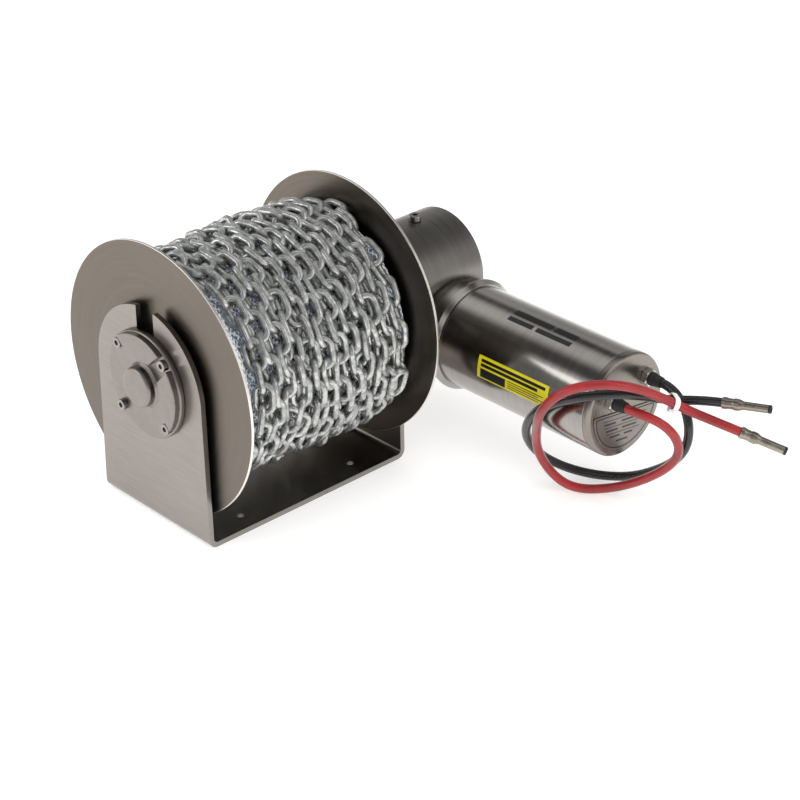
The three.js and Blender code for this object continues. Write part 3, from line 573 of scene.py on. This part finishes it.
def connector(colour):
    """Butt connector: a crimped sleeve over the cable's end and an open barrel."""
    return on_cable_end(colour, lathe(f"butt_connector_{colour}", [
        (CABLE_R + 0.1, 0.3), (5.6, 0.3), (5.7, 3.5), (5.1, 6.0), (5.0, 9.5), (5.6, 12.0),
        (5.5, 15.5), (3.95, 19.5), (3.9, 42.4), (2.9, 42.4), (2.8, 33), (0, 33),
        (0, 2.0), (CABLE_R + 0.1, 2.0)], "x", segments=40, edge=0.5))


def cable_tie():
    """Nylon tie round two cables side by side: band, ribbed tail and locking head."""
    first, second = Vector((314.7, 225.3, 116.2)), Vector((323.4, 219.1, 117.3))
    across = second - first
    span = across.length
    along = Vector((0.57, 0.74, -0.32)).normalized()
    across.normalize()
    up = along.cross(across).normalized()
    inner, outer = CABLE_R + 0.8, CABLE_R + 2.0

    def track(radius):
        return arc(radius, 90, 270, 20) + arc(radius, -90, 90, 20, span, 0)

    band = prism("tie_band", track(outer), "xy", -2.3, 2.3)
    cut(band, prism("hole", track(inner), "xy", -4, 4))
    head = prism("head", [(span / 2 - 3.4, outer - 0.6), (span / 2 + 3.4, outer - 0.6),
                          (span / 2 + 3.1, outer + 3.3), (span / 2 - 3.1, outer + 3.3)],
                 "xy", -2.9, 2.9)
    cut(head, prism("slot", [(span / 2 - 1.0, outer + 1.4), (span / 2 + 1.0, outer + 1.4),
                             (span / 2 + 1.0, outer + 5), (span / 2 - 1.0, outer + 5)],
                    "xy", -1.9, 1.9))
    tie = soften(merge(band, head), 0.25, 2, 40)
    basis = Matrix((across, up, along)).transposed().to_4x4()
    tie.data.transform(Matrix.Translation(first * MM) @ basis)
    tie.name = "lead_tie"
    return tie


def barrel_shade_sleeve(colour):
    """Painted shade in a connector's open barrel: a dark sleeve lining its bore, showing as a dark
    rim at its end.
    """
    return on_cable_end(colour, lathe(f"barrel_shade_sleeve_{colour}", [
        (0, 33.1), (2.7, 33.1), (2.75, 42.5), (3.9, 42.5), (3.9, 45, 0.5), (2.3, 45), (2.3, 33.6),
        (0, 33.6)], "x", segments=40, edge=0.2))


leads = {"red": cable("red", red_vinyl), "black": cable("black", black_vinyl)}
tie = finish_piece(cable_tie(), white_nylon, "frame", "white_nylon", "cable_tie")
ends = {c: finish_piece(connector(c), tinned_metal, "frame", "tinned_metal", f"connector_{c}")
        for c in leads}
# Painted shade: a dark sleeve inside each connector's barrel stands for the shade in its bore.
bore_shade_sleeves = {c: finish_piece(barrel_shade_sleeve(c), carbon, "frame", "black_rubber") for c in leads}


# ---------------------------------------------------------------- bracket
def bracket():
    """Channel bent from one plate, its two sides rounded round the drum's axis and slotted."""
    outer = BRACKET_Y / 2
    inner = outer - PLATE_T
    above = 216  # past the top of the sides, which the head's outline trims
    channel = ([(outer, above)] + arc(9, 0, -90, 14, outer - 9, 9)
               + arc(9, -90, -180, 14, 9 - outer, 9) + [(-outer, above), (-inner, above)]
               + arc(4, 180, 270, 12, 4 - inner, 9) + arc(4, -90, 0, 12, inner - 4, 9)
               + [(inner, above)])
    side, slot = BRACKET_X / 2, 12.0
    lip = math.degrees(math.acos(slot / HEAD_R))
    mouth = AXIS_Z + HEAD_R * math.sin(math.radians(lip))
    head = rounded(
        [(-side, -1, 0), (side, -1, 0)]
        + [(*p, 0) for p in arc(HEAD_R, 0, lip, 48, 0, AXIS_Z)[:-1]]
        + [(slot, mouth, 1.2)]
        + [(*p, 0) for p in arc(slot, 0, -180, 32, 0, AXIS_Z)]
        + [(-slot, mouth, 1.2)]
        + [(*p, 0) for p in arc(HEAD_R, 180 - lip, 180, 48, 0, AXIS_Z)[1:]], 0)
    body = combine(prism("bracket_shell", channel, "yz", -side, side), "INTERSECT",
                   prism("head", head, "xz", -outer - 1, outer + 1))
    tools = [lathe("hole", [(0, -1), (3.5, -1), (3.5, 6), (0, 6)], "z", (x, y), 40, 0)
             for x in (-FOOT_HOLE_X, FOOT_HOLE_X) for y in (-FOOT_HOLE_Y, FOOT_HOLE_Y)]
    for x, z in square_of(SCREW_SPACING):
        tools.append(lathe("hole", [(0, -outer - 1), (3.2, -outer - 1), (3.2, 1 - inner),
                                    (0, 1 - inner)], "y", (x, AXIS_Z + z), 32, 0))
        tools.append(lathe("sink", [(0, inner - 1), (5.8, inner - 1), (5.8, inner),
                                    (3.2, inner + 2.6), (3.2, outer + 1), (0, outer + 1)],
                           "y", (x, AXIS_Z + z), 32, 0))
    cut(body, *tools)
    return soften(body, 0.6, 3, 40)


finish_piece(bracket(), plate_steel, "frame", "plate_steel", "bracket")


# ---------------------------------------------------------------- near bearing
def lobe(turn):
    """Raised pad between two screws: a chord inside, the rim's arc outside, soft edges."""
    outline = rounded([(-15, 26.5, 2.5), (15, 26.5, 2.5), (24, 35, 4)]
                      + [(*p, 1.5 if i in (0, 16) else 0)
                         for i, p in enumerate(arc(50.0, 90 - 37, 90 + 37, 16))]
                      + [(-24, 35, 4)], 0)
    made = prism("lobe", outline, "xz", CAP_BACK - 10.5, CAP_BACK - 3)
    made.data.transform(Matrix.Rotation(turn, 4, "Y"))
    made.data.transform(Matrix.Translation((0, 0, AXIS_Z * MM)))
    cut(made, *[lathe("seat", [(0, CAP_BACK - 30), (6.4, CAP_BACK - 30), (6.4, CAP_BACK - 5),
                               (0, CAP_BACK - 5)], "y", (x, AXIS_Z + z), 40, 0)
                for x, z in square_of(SCREW_SPACING)])
    return soften(made, 3.0, 6, 50)


def bearing_cap():
    """Round cover with a boss over the shaft's end and two raised lobes."""
    face = CAP_BACK - 5
    disc = on_drum("bearing_cover", [
        (15.3, CAP_BACK), (51.5, CAP_BACK), (51.5, face, 2.2), (21.5, face, 1.2),
        (19, face - 2.5, 2.0), (19, CAP_BACK - 14.5, 3.4), (0, CAP_BACK - 14.5),
        (0, CAP_BACK - 10.5), (15.3, CAP_BACK - 10.5)], segments=128, edge=0.6)
    cut(disc, *[lathe("hole", [(0, face - 2), (3.2, face - 2), (3.2, CAP_BACK + 1),
                               (0, CAP_BACK + 1)], "y", (x, AXIS_Z + z), 32, 0)
                for x, z in square_of(SCREW_SPACING)])
    return merge(disc, lobe(0), lobe(math.pi / 2))


finish_piece(bearing_cap(), cast_steel, "frame", "cast_steel", "bearing_cap")


def socket_screw(name, x, z, seat, length, shank=2.9, head=5.2, tall=4.0, key=4.6):
    """Cap screw along the drum's axis with a hexagon socket."""
    body = lathe(name, [(0, seat + length), (shank, seat + length, 0.5), (shank, seat),
                        (head, seat), (head, seat - tall, 0.7), (0, seat - tall)],
                 "y", (x, z), 48, 0.2)
    socket = prism("socket", hexagon(key, x, z, 12), "xz", seat - tall - 1, seat - tall + 2.4)
    return soften(cut(body, socket), 0.12, 2, 45)


for i, (x, z) in enumerate(square_of(SCREW_SPACING)):
    screw = socket_screw(f"socket_screw_{i + 1}", x, AXIS_Z + z, CAP_BACK - 5.3, 9.2)
    finish_piece(screw, screw_steel, "frame", "screw_steel", f"cap_screw_{i + 1}")


# ---------------------------------------------------------------- drum
def flange_disc(name, outer, inner):
    """Flange of the drum, from the Y of its outer face to that of its inner face."""
    low, high = sorted((outer, inner))
    return on_drum(name, [(11.3, low), (FLANGE_R, low), (FLANGE_R, high), (11.3, high)],
                   segments=192, edge=0.55)


finish_piece(flange_disc("near_disc", *FLANGE_NEAR), flange_steel, "drum", "flange_steel",
             "drum_flange_near")
finish_piece(flange_disc("far_disc", *FLANGE_FAR), flange_steel, "drum", "flange_steel",
             "drum_flange_far")


def sweep(name, centres, radius, sides):
    """Tube along a row of points round the drum's axis, its section facing away from the axis."""
    centres = np.asarray(centres, float)
    count = len(centres)
    tangent = np.gradient(centres, axis=0)
    tangent /= np.linalg.norm(tangent, axis=1)[:, None]
    outward = centres - np.column_stack([np.zeros(count), centres[:, 1], np.full(count, AXIS_Z)])
    outward /= np.linalg.norm(outward, axis=1)[:, None]
    across = np.cross(tangent, outward)
    angles = TAU * np.arange(sides) / sides
    ring = (np.cos(angles)[None, :, None] * outward[:, None, :]
            + np.sin(angles)[None, :, None] * across[:, None, :])
    verts = (centres[:, None, :] + radius * ring).reshape(-1, 3)
    base = np.arange(count - 1)[:, None] * sides
    k = np.arange(sides)[None, :]
    m = (k + 1) % sides
    faces = np.stack([base + k, base + m, base + sides + m, base + sides + k], -1).reshape(-1, 4)
    caps = [list(range(sides)), list(range((count - 1) * sides, count * sides))]
    obj = mesh_object(name, verts, faces.tolist() + caps, fix=False)
    # The UV runs in metres along the tube and from 0 to 1 round it; the end caps keep (0, 0).
    steps = np.linalg.norm(np.diff(centres, axis=0), axis=1) * MM
    length = np.concatenate([[0], np.cumsum(steps)])
    layer = obj.data.uv_layers.new(name="along")
    values = np.zeros((len(obj.data.loops), 2))
    low, high = length[:-1, None] + 0 * k, length[1:, None] + 0 * k
    left, right = k / sides + 0 * base, (k + 1) / sides + 0 * base
    quads = np.stack([np.stack([low, left], -1), np.stack([low, right], -1),
                      np.stack([high, right], -1), np.stack([high, left], -1)], 2)
    values[:quads.size // 2] = quads.reshape(-1, 2)
    layer.data.foreach_set("uv", values.ravel())
    return face_outward(obj)


def helix(radius, start, end, pitch, per_turn, phase):
    """Points of a rope's middle wound round the drum between two places along it."""
    turns = abs(end - start) / pitch
    count = int(turns * per_turn) + 1
    part = np.linspace(0, 1, count)
    angle = phase + TAU * turns * part
    return np.column_stack([radius * np.cos(angle), start + (end - start) * part,
                            AXIS_Z - radius * np.sin(angle)])


rope_coils = merge(
    sweep("rope_coils", helix(99.2, -104.0, -86.0, ROPE_PITCH, 110, 0.4), ROPE_R, 12),
    sweep("rope_under", helix(92.5, -103.8, 106.5, ROPE_PITCH, 72, 2.0), ROPE_R, 8))
finish_piece(rope_coils, rope, "drum", "rope", "rope_winding", smooth=False)
rope_coils.data.shade_smooth()


def link_shape(steps, sides):
    """One oval link: long side along X, width along Y. Returns its vertices and faces."""
    reach, bend = (LINK_LENGTH - LINK_WIDTH) / 2, (LINK_WIDTH - 2 * CHAIN_WIRE_R) / 2
    course, normal = [], []
    for start, shift in ((-90, reach), (90, -reach)):
        for i in range(steps):
            angle = math.radians(start + 180 * i / (steps - 1))
            course.append((shift + bend * math.cos(angle), bend * math.sin(angle), 0))
            normal.append((math.cos(angle), math.sin(angle), 0))
    course, normal = np.array(course), np.array(normal)
    angles = TAU * np.arange(sides) / sides
    verts = (course[:, None, :] + CHAIN_WIRE_R * (
        np.cos(angles)[None, :, None] * normal[:, None, :]
        + np.sin(angles)[None, :, None] * np.array([0, 0, 1.0])))
    total = len(course)
    ring, k = np.meshgrid(np.arange(total), np.arange(sides), indexing="ij")
    after, m = (ring + 1) % total, (k + 1) % sides
    faces = np.stack([ring * sides + k, after * sides + k, after * sides + m, ring * sides + m], -1)
    return verts.reshape(-1, 3), faces.reshape(-1, 4)


def chain_frames(radius, start, end, pitch_y, phase, loose, taper):
    """Centre and axes (along, wide, thick) of each link of a chain wound round the drum."""
    out = []
    angle, place, index = phase, start, 0
    while place < end:
        r = radius + taper(place)
        lean = pitch_y / (TAU * r)
        side_of_turn = 1 if index % 2 else -1
        roll = math.radians(45 * side_of_turn + rng.normal(0, 15 * loose))
        yaw = lean + rng.normal(0, 0.09 * loose)
        lift = rng.normal(0, 0.9 * loose)
        shift = rng.normal(0, 1.0 * loose)
        radial = np.array([math.cos(angle), 0, -math.sin(angle)])
        tangent = np.array([-math.sin(angle), 0, -math.cos(angle)])
        side = np.array([0, 1.0, 0])
        along = math.cos(yaw) * tangent + math.sin(yaw) * side
        across = np.cross(radial, along)
        wide = math.cos(roll) * across + math.sin(roll) * radial
        thick = np.cross(along, wide)
        centre = (r + lift) * radial + np.array([0, place + shift, AXIS_Z])
        out.append((centre, along, wide, thick))
        step = LINK_STEP / r
        angle += step
        place += pitch_y * step / TAU
        index += 1
    return out


def links_mesh(name, frames, steps, sides):
    """One mesh of all the links that the frames place."""
    verts, faces = link_shape(steps, sides)
    all_verts, all_faces = [], []
    for i, (centre, along, wide, thick) in enumerate(frames):
        basis = np.array([along, wide, thick])
        all_verts.append(verts @ basis + centre)
        all_faces.append(faces + i * len(verts))
    return face_outward(mesh_object(name, np.concatenate(all_verts),
                                    np.concatenate(all_faces).tolist(), False))


def pile_taper(place):
    """Height of the outer layer along the drum: low at both flanges, fullest past the middle."""
    return float(np.interp(place, (-84, -40, 0, 40, 80, 105), (-1.5, -0.5, 1.5, 3.5, 2.5, -4)))


chain = merge(
    links_mesh("chain_links", chain_frames(101.5, -86, 100, 14.6, 0.35, 1.0, pile_taper), 10, 8),
    links_mesh("chain_under", chain_frames(93.0, -78, 99, 15.6, 1.9, 0.7, pile_taper), 6, 6))
finish_piece(chain, chain_zinc, "drum", "galvanised_chain", "chain_winding", smooth=False)
chain.data.shade_smooth()

end_centre = np.array([END_LINK_R * math.cos(END_TURN), END_LINK_Y,
                       AXIS_Z - END_LINK_R * math.sin(END_TURN)])
end_along = np.array([-math.sin(END_TURN), 0, -math.cos(END_TURN)])
end_out = np.array([math.cos(END_TURN), 0, -math.sin(END_TURN)])
end_link = links_mesh("chain_last_link", [(end_centre, end_along, np.array([0, 1.0, 0]), end_out)],
                      16, 14)
finish_piece(end_link, chain_zinc, "drum", "galvanised_link", "chain_end_link", smooth=False)
end_link.data.shade_smooth()


# ---------------------------------------------------------------- worm gearbox
def gear_housing():
    """Round case on the drum's axis, joined to the motor's neck, with its inner spaces."""
    drum_side = on_drum("gear_case", [(0, GEAR_NEAR), (GEAR_R, GEAR_NEAR), (GEAR_R, GEAR_FAR, 1.4),
                                      (0, GEAR_FAR)], segments=128, edge=0.8)
    neck = on_motor("neck", [(0, -48), (25, -48, 2.5), (25, 18, 8), (50, 36, 5), (50, 61.5, 0.8),
                             (0, 61.5)], segments=96, edge=0.8)
    body = combine(drum_side, "UNION", neck)
    soften(body, 1.6, 3, 35)
    chamber = on_drum("chamber", [(0, 137), (46, 137), (46, 238), (50, 238), (50, 268), (0, 268)],
                      segments=96, edge=0)
    front = on_drum("front", [(0, 119), (18.3, 119), (18.3, 127), (23.3, 127), (23.3, 138),
                              (0, 138)], segments=64, edge=0)
    worm = on_motor("worm_bore", [(0, -44), (17.3, -44), (17.3, 30), (40, 46), (40, 63), (0, 63)],
                    segments=64, edge=0)
    plug = lathe("plug_hole", [(0, 183), (4.2, 183), (4.2, 203), (0, 203)], "z", (0, PLUG_Y), 32, 0)
    holes = [lathe("hole", [(0, 119), (3.2, 119), (3.2, 130.8), (0, 130.8)], "y",
                   (x, AXIS_Z + z), 24, 0) for x, z in square_of(SCREW_SPACING)]
    return cut(body, chamber, front, worm, plug, *holes)


finish_piece(gear_housing(), gear_steel, "frame", "gear_steel", "gear_housing")

cover = on_drum("gear_lid", [
    (0, 238.3), (23.3, 238.3), (23.3, 229.3), (28, 229.3), (28, 238.3), (49.7, 238.3),
    (49.7, LID_FACE, 1.2), (0, LID_FACE)], segments=96, edge=0.4)
lid_circle = [(LID_SCREW_R * math.cos(math.radians(a)), LID_SCREW_R * math.sin(math.radians(a)))
              for a in (90, 210, 330)]
cut(cover, *[lathe("hole", [(0, 237), (2.2, 237), (2.2, 250), (0, 250)], "y",
                   (x, AXIS_Z + z), 24, 0) for x, z in lid_circle])
finish_piece(cover, gear_steel, "frame", "gear_steel", "gear_cover")


def lid_screw(name, x, z):
    """Button-head screw of the gearbox cover."""
    body = lathe(name, [(0, 238.8), (1.9, 238.8), (1.9, 245.9), (3.6, 245.9), (3.6, 247.2),
                        (2.6, 248.1, 0.8), (0, 248.1)], "y", (x, z), 32, 0.25)
    return cut(body, prism("socket", hexagon(2.6, x, z), "xz", 246.7, 250))


for i, (x, z) in enumerate(lid_circle):
    finish_piece(lid_screw(f"lid_screw_{i + 1}", x, AXIS_Z + z), screw_steel, "frame",
                 "screw_steel", f"cover_screw_{i + 1}")

plug = lathe("filler_plug", [(0, 188), (3.8, 188), (3.8, 196.3), (6.2, 196.3), (6.2, PLUG_TOP, 0.8),
                             (0, PLUG_TOP)], "z", (0, PLUG_Y), 48, 0.2)
cut(plug, prism("socket", hexagon(4.8, 0, PLUG_Y), "xy", PLUG_TOP - 2.7, PLUG_TOP + 2))
finish_piece(soften(plug, 0.12, 2, 45), screw_steel, "frame", "screw_steel", "oil_plug")


# ---------------------------------------------------------------- motor shell
bell = on_motor("drive_bell", [
    (8.5, 61.8), (53, 61.8, 0.8), (53, 69.8, 0.8), (56, 72.3, 1.2), (56, 76, 1.2),
    (52.4, 80, 0.6), (47.5, 80), (47.5, 87), (43.8, 87), (43.8, 70.8), (20, 70.8), (20, 79.8),
    (16, 79.8), (16, 68.8), (8.5, 68.8)], segments=128, edge=0.4)
finish_piece(bell, tube_steel, "frame", "polished_steel", "drive_end_bell")
shell = on_motor("motor_shell", [(47.8, TUBE_START), (TUBE_R, TUBE_START), (TUBE_R, TUBE_END),
                                 (47.8, TUBE_END)], segments=160, edge=0.5)
finish_piece(shell, tube_steel, "frame", "polished_steel", "motor_tube")
end_cap = on_motor("end_cover", [
    (0, CAP_FACE), (TUBE_R, CAP_FACE, 5.0), (TUBE_R, 263.8), (47.5, 263.8), (47.5, 256.8),
    (43.8, 256.8), (43.8, 266.8), (18, 266.8), (18, 255.8), (13.3, 255.8), (13.3, 264.8),
    (0, 264.8)], segments=160, edge=0.4, steps=8)
finish_piece(end_cap, end_steel, "frame", "polished_steel", "motor_end_cap")


# ---------------------------------------------------------------- end cap fittings
def gland_nut(name, y, z):
    """Hexagon nut with chamfered corners on a plain washer."""
    low, high = CAP_FACE + 0.3, CAP_FACE + 6.5
    nut = prism(name, hexagon(15, y, z, 10), "yz", low, high)
    cone = lathe("cone", [(0, low), (8.2, low), (8.9, low + 0.9), (8.9, high - 1.3),
                          (7.5, high), (0, high)], "x", (y, z), 64, 0)
    nut = combine(nut, "INTERSECT", cone)
    cut(nut, lathe("bore", [(0, low - 1), (4.6, low - 1), (4.6, high + 1), (0, high + 1)], "x",
                   (y, z), 40, 0))
    return soften(nut, 0.2, 2, 30)


def lead_boot(name, y, z):
    """Tapered moulded boot with shallow rings."""
    x = CAP_FACE
    return lathe(name, [
        (CABLE_R + 0.15, x + 7), (6.6, x + 7), (6.6, x + 9.6, 0.8), (6.0, x + 10.4, 0.3),
        (6.1, x + 12.2, 0.5), (5.6, x + 13, 0.3), (5.7, x + 14.8, 0.5), (5.3, x + 15.6, 0.3),
        (5.3, x + 17.6, 0.5), (4.95, x + 18.7, 0.5), (CABLE_R + 0.15, x + 18.7)],
        "x", (y, z), 48, 0.3)


for name, (dy, dz) in (("red", (-21, 12)), ("black", (27, 20))):
    y, z = MOTOR[0] + dy, MOTOR[1] + dz
    finish_piece(gland_nut(f"terminal_nut_{name}", y, z), bright_zinc, "frame", "screw_steel",
                 f"gland_nut_{name}")
    finish_piece(lead_boot(f"lead_boot_{name}", y, z), black_rubber, "frame", "black_rubber",
                 f"boot_{name}")


# ---------------------------------------------------------------- rating plate and labels
LEAN = -8.0  # degrees
PRINT_LOW, PRINT_HIGH = 0.02, 0.09  # the print's under and upper side over the plate


def tilted(points):
    """Points drawn from the end cap's middle, leaned with the rating plate."""
    c, s = math.cos(math.radians(LEAN)), math.sin(math.radians(LEAN))
    return [(MOTOR[0] + c * u - s * v, MOTOR[1] + s * u + c * v) for u, v in points]


def plate_outline(radius, chord):
    """Lower part of a disc, cut off by a chord below its middle."""
    drop = math.degrees(math.asin(chord / radius))
    return arc(radius, 180 + drop, 360 - drop, 48)


def bar(name, u0, u1, v, half):
    """Printed bar on the rating plate, from u0 to u1 along it and half a width to each side."""
    box = rounded([(u0, v - half), (u1, v - half), (u1, v + half), (u0, v + half)], 0.3, 2)
    return prism(name, tilted(box), "yz", plate_face + PRINT_LOW, plate_face + PRINT_HIGH)


plate_face = CAP_FACE + 1.1
plate = prism("type_plate", tilted(rounded([(*p, 1.5 if i in (0, 48) else 0) for i, p in
              enumerate(plate_outline(43.5, 4.0))], 0)), "yz", CAP_FACE + 0.3, plate_face)
finish_piece(soften(plate, 0.2, 2, 40), cast_steel, "frame", "cast_steel", "rating_plate")
border = prism("plate_border", tilted(plate_outline(41.6, 5.6)), "yz",
               plate_face + PRINT_LOW, plate_face + PRINT_HIGH)
cut(border, prism("inside", tilted(plate_outline(40.4, 6.8)), "yz", plate_face - 1,
                  plate_face + 1))
marks = [border]
for u0, u1, v in ((-30, 30, -10.5), (-27, 27, -17.5), (-23, 23, -24.5)):
    marks.append(bar("rule", u0, u1, v, 0.35))
for u0, u1, v in ((-28, -12, -14), (-4, 22, -14), (-24, -8, -21), (-2, 18, -21),
                  (-18, -4, -28), (2, 14, -28), (-8, 8, -33.5)):
    marks.append(bar("entry", u0, u1, v, 0.9))
finish_piece(merge(*marks), print_ink, "frame", "black_rubber")


def tube_patch(name, x0, x1, a0, a1, radius, thick):
    """Thin sheet bent round the motor tube, angles in degrees from +Y towards +Z."""
    steps = max(2, int(abs(a1 - a0) / 2))
    outer = arc(radius + thick, a0, a1, steps, *MOTOR)
    inner = arc(radius, a1, a0, steps, *MOTOR)
    return prism(name, outer + inner, "yz", x0, x1)


label = tube_patch("side_label", 132, 221, 185, 160, TUBE_R + 0.3, 0.4)
finish_piece(label, yellow_label, "frame", "yellow_label", "tube_label")
label_face = TUBE_R + 0.72
bars = [(136, 217, 163.0, 166.4), (136, 208, 168.0, 171.4), (136, 168, 173.6, 183.4)]
bars += [(171, 216 - 6 * (i % 2), 173.8 + 2.5 * i, 174.8 + 2.5 * i) for i in range(4)]
ink = [tube_patch("ink", x0, x1, high, low, label_face, 0.06) for x0, x1, low, high in bars]
finish_piece(merge(*ink), print_ink, "frame", "black_rubber")
tube_face = TUBE_R + 0.03
stripes = [tube_patch("stripe", x0, x1, high, low, tube_face, 0.06)
           for x0, x1, low, high in ((139, 186, 95, 103), (190, 217, 95, 103),
                                     (139, 170, 107, 113), (174, 217, 107, 113))]
finish_piece(merge(*stripes), print_ink, "frame", "black_rubber")


# ---------------------------------------------------------------- carried-over CAD nodes
CARRIED = (
    (bronze, ("near_bush", "worm_wheel")),
    (polished_steel, ("drum_shaft",)),
    (machined_steel, ("drum_core", "drum_hub_near", "drum_hub_far", "hub_key", "wheel_key",
                      "motor_shaft", "worm", "armature_core")),
    (screw_steel, ("output_bearing_front", "output_bearing_rear", "worm_bearing",
                   "drive_end_bearing", "cap_end_bearing", "housing_screw_1", "housing_screw_2",
                   "housing_screw_3", "housing_screw_4")),
    (black_rubber, ("shaft_seal",)),
    (ferrite, ("magnet_1", "magnet_2")),
    (carbon, ("brush_plate", "brush_1", "brush_2")),
    (copper, ("winding_front", "winding_rear", "commutator")),
)
for material, nodes in CARRIED:
    for node in nodes:
        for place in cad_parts[node].material_slots:
            place.material = material
# The other nodes lie under a drawn piece, and wear its material all the same.
done = {node for _, nodes in CARRIED for node in nodes}
look = {"plate_steel": plate_steel, "cast_steel": cast_steel, "flange_steel": flange_steel,
        "gear_steel": gear_steel, "polished_steel": tube_steel, "screw_steel": screw_steel,
        "machined_steel": machined_steel, "galvanised_chain": chain_zinc,
        "galvanised_link": chain_zinc, "black_rubber": black_rubber, "rope": rope,
        "red_vinyl": red_vinyl, "black_vinyl": black_vinyl, "tinned_metal": tinned_metal,
        "white_nylon": white_nylon, "yellow_label": yellow_label}
for node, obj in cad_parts.items():
    if node not in done:
        for place in obj.material_slots:
            slot = place.material.name.split(".")[0] if place.material else ""
            place.material = look.get(slot, machined_steel)


# ---------------------------------------------------------------- floor, light and world
def make_floor():
    """Pale table that is lit a little from within, as a photographer's light table is."""
    made = Mat("floor_paint", roughness=0.75)
    slow = made.noise(made.coords(), 1.5, 2.0, 0.5)
    made.colour(made.blend(made.span(slow, 0, 1), srgb("cecdcb"), srgb("d3d2d0")))
    made.shader.inputs["Emission Color"].default_value = (1, 1, 1, 1)
    made.shader.inputs["Emission Strength"].default_value = 0.5
    half, top = 6000, -0.1
    floor = mesh_object("floor", [(-half, -half, top), (half, -half, top), (half, half, top),
                                  (-half, half, top)], [(0, 1, 2, 3)], fix=False)
    floor.data.materials.append(made.material)


def area_light(name, place, target, size, power, glossy=True):
    """Panel that shines from a place to a target, in metres; one not glossy shows in no metal."""
    data = bpy.data.lights.new(name, "AREA")
    data.shape = "RECTANGLE"
    data.size, data.size_y = size
    data.energy = power
    obj = link(bpy.data.objects.new(name, data))
    direction = Vector(target) - Vector(place)
    obj.matrix_world = (Matrix.Translation(place)
                        @ direction.to_track_quat("-Z", "Y").to_matrix().to_4x4())
    obj.visible_glossy = glossy


def make_world():
    """Studio surround in bands, by the angle round X from the far horizon over the top: bright
    low down, a dark band, bright overhead, a dark band, then bright again on the camera's side."""
    world = bpy.data.worlds.new("studio")
    world.use_nodes = True
    tree = world.node_tree
    background = tree.nodes["Background"]
    source = tree.nodes.new("ShaderNodeTexCoord")
    parts = tree.nodes.new("ShaderNodeSeparateXYZ")
    angle = tree.nodes.new("ShaderNodeMath")
    angle.operation = "ARCTAN2"
    scale = tree.nodes.new("ShaderNodeMath")
    scale.operation = "DIVIDE"
    scale.inputs[1].default_value = math.pi
    ramp = tree.nodes.new("ShaderNodeValToRGB")
    tree.links.new(source.outputs["Generated"], parts.inputs[0])
    tree.links.new(parts.outputs["Z"], angle.inputs[0])
    tree.links.new(parts.outputs["Y"], angle.inputs[1])
    tree.links.new(angle.outputs[0], scale.inputs[0])
    tree.links.new(scale.outputs[0], ramp.inputs[0])
    tree.links.new(ramp.outputs[0], background.inputs["Color"])
    stops = ((0.0, 0.8), (0.10, 0.42), (0.16, 0.40), (0.20, 0.55), (0.24, 0.4), (0.27, 0.07),
             (0.32, 0.08), (0.36, 0.45), (0.40, 0.75), (0.50, 0.78), (0.56, 0.35), (0.60, 0.1),
             (0.70, 0.1), (0.76, 0.8), (0.85, 0.72), (0.91, 0.3), (1.0, 0.3))
    elements = ramp.color_ramp.elements
    while len(elements) < len(stops):
        elements.new(0.5)
    for element, (place, value) in zip(elements, stops):
        element.position = place
        element.color = (value, value, value * 0.995, 1)  # a touch warm
    background.inputs["Strength"].default_value = 1.0
    scene.world = world


make_floor()
make_world()
area_light("overhead", (0.3, -0.5, 2.6), (0.05, 0.05, 0), (2.6, 2.2), 37, glossy=False)
for name, place in (("left", (-2, 0, 0.8)), ("right", (2, 0, 0.8)), ("front", (0, -2, 0.8)),
                    ("back", (0, 2, 0.8))):
    area_light(f"{name}_panel", place, (0, 0, 0.05), (2.0, 0.9), 17, glossy=False)
area_light("key", (-1.5, -2.1, 1.05), (0, 0, 0.12), (1.8, 1.5), 16)
area_light("rim", (1.9, 0.9, 1.3), (0.1, 0.1, 0.1), (1.0, 1.4), 5)
scene.view_settings.view_transform = "Standard"
scene.view_settings.look = "None"
scene.view_settings.exposure = 0.0

bpy.context.view_layer.update()
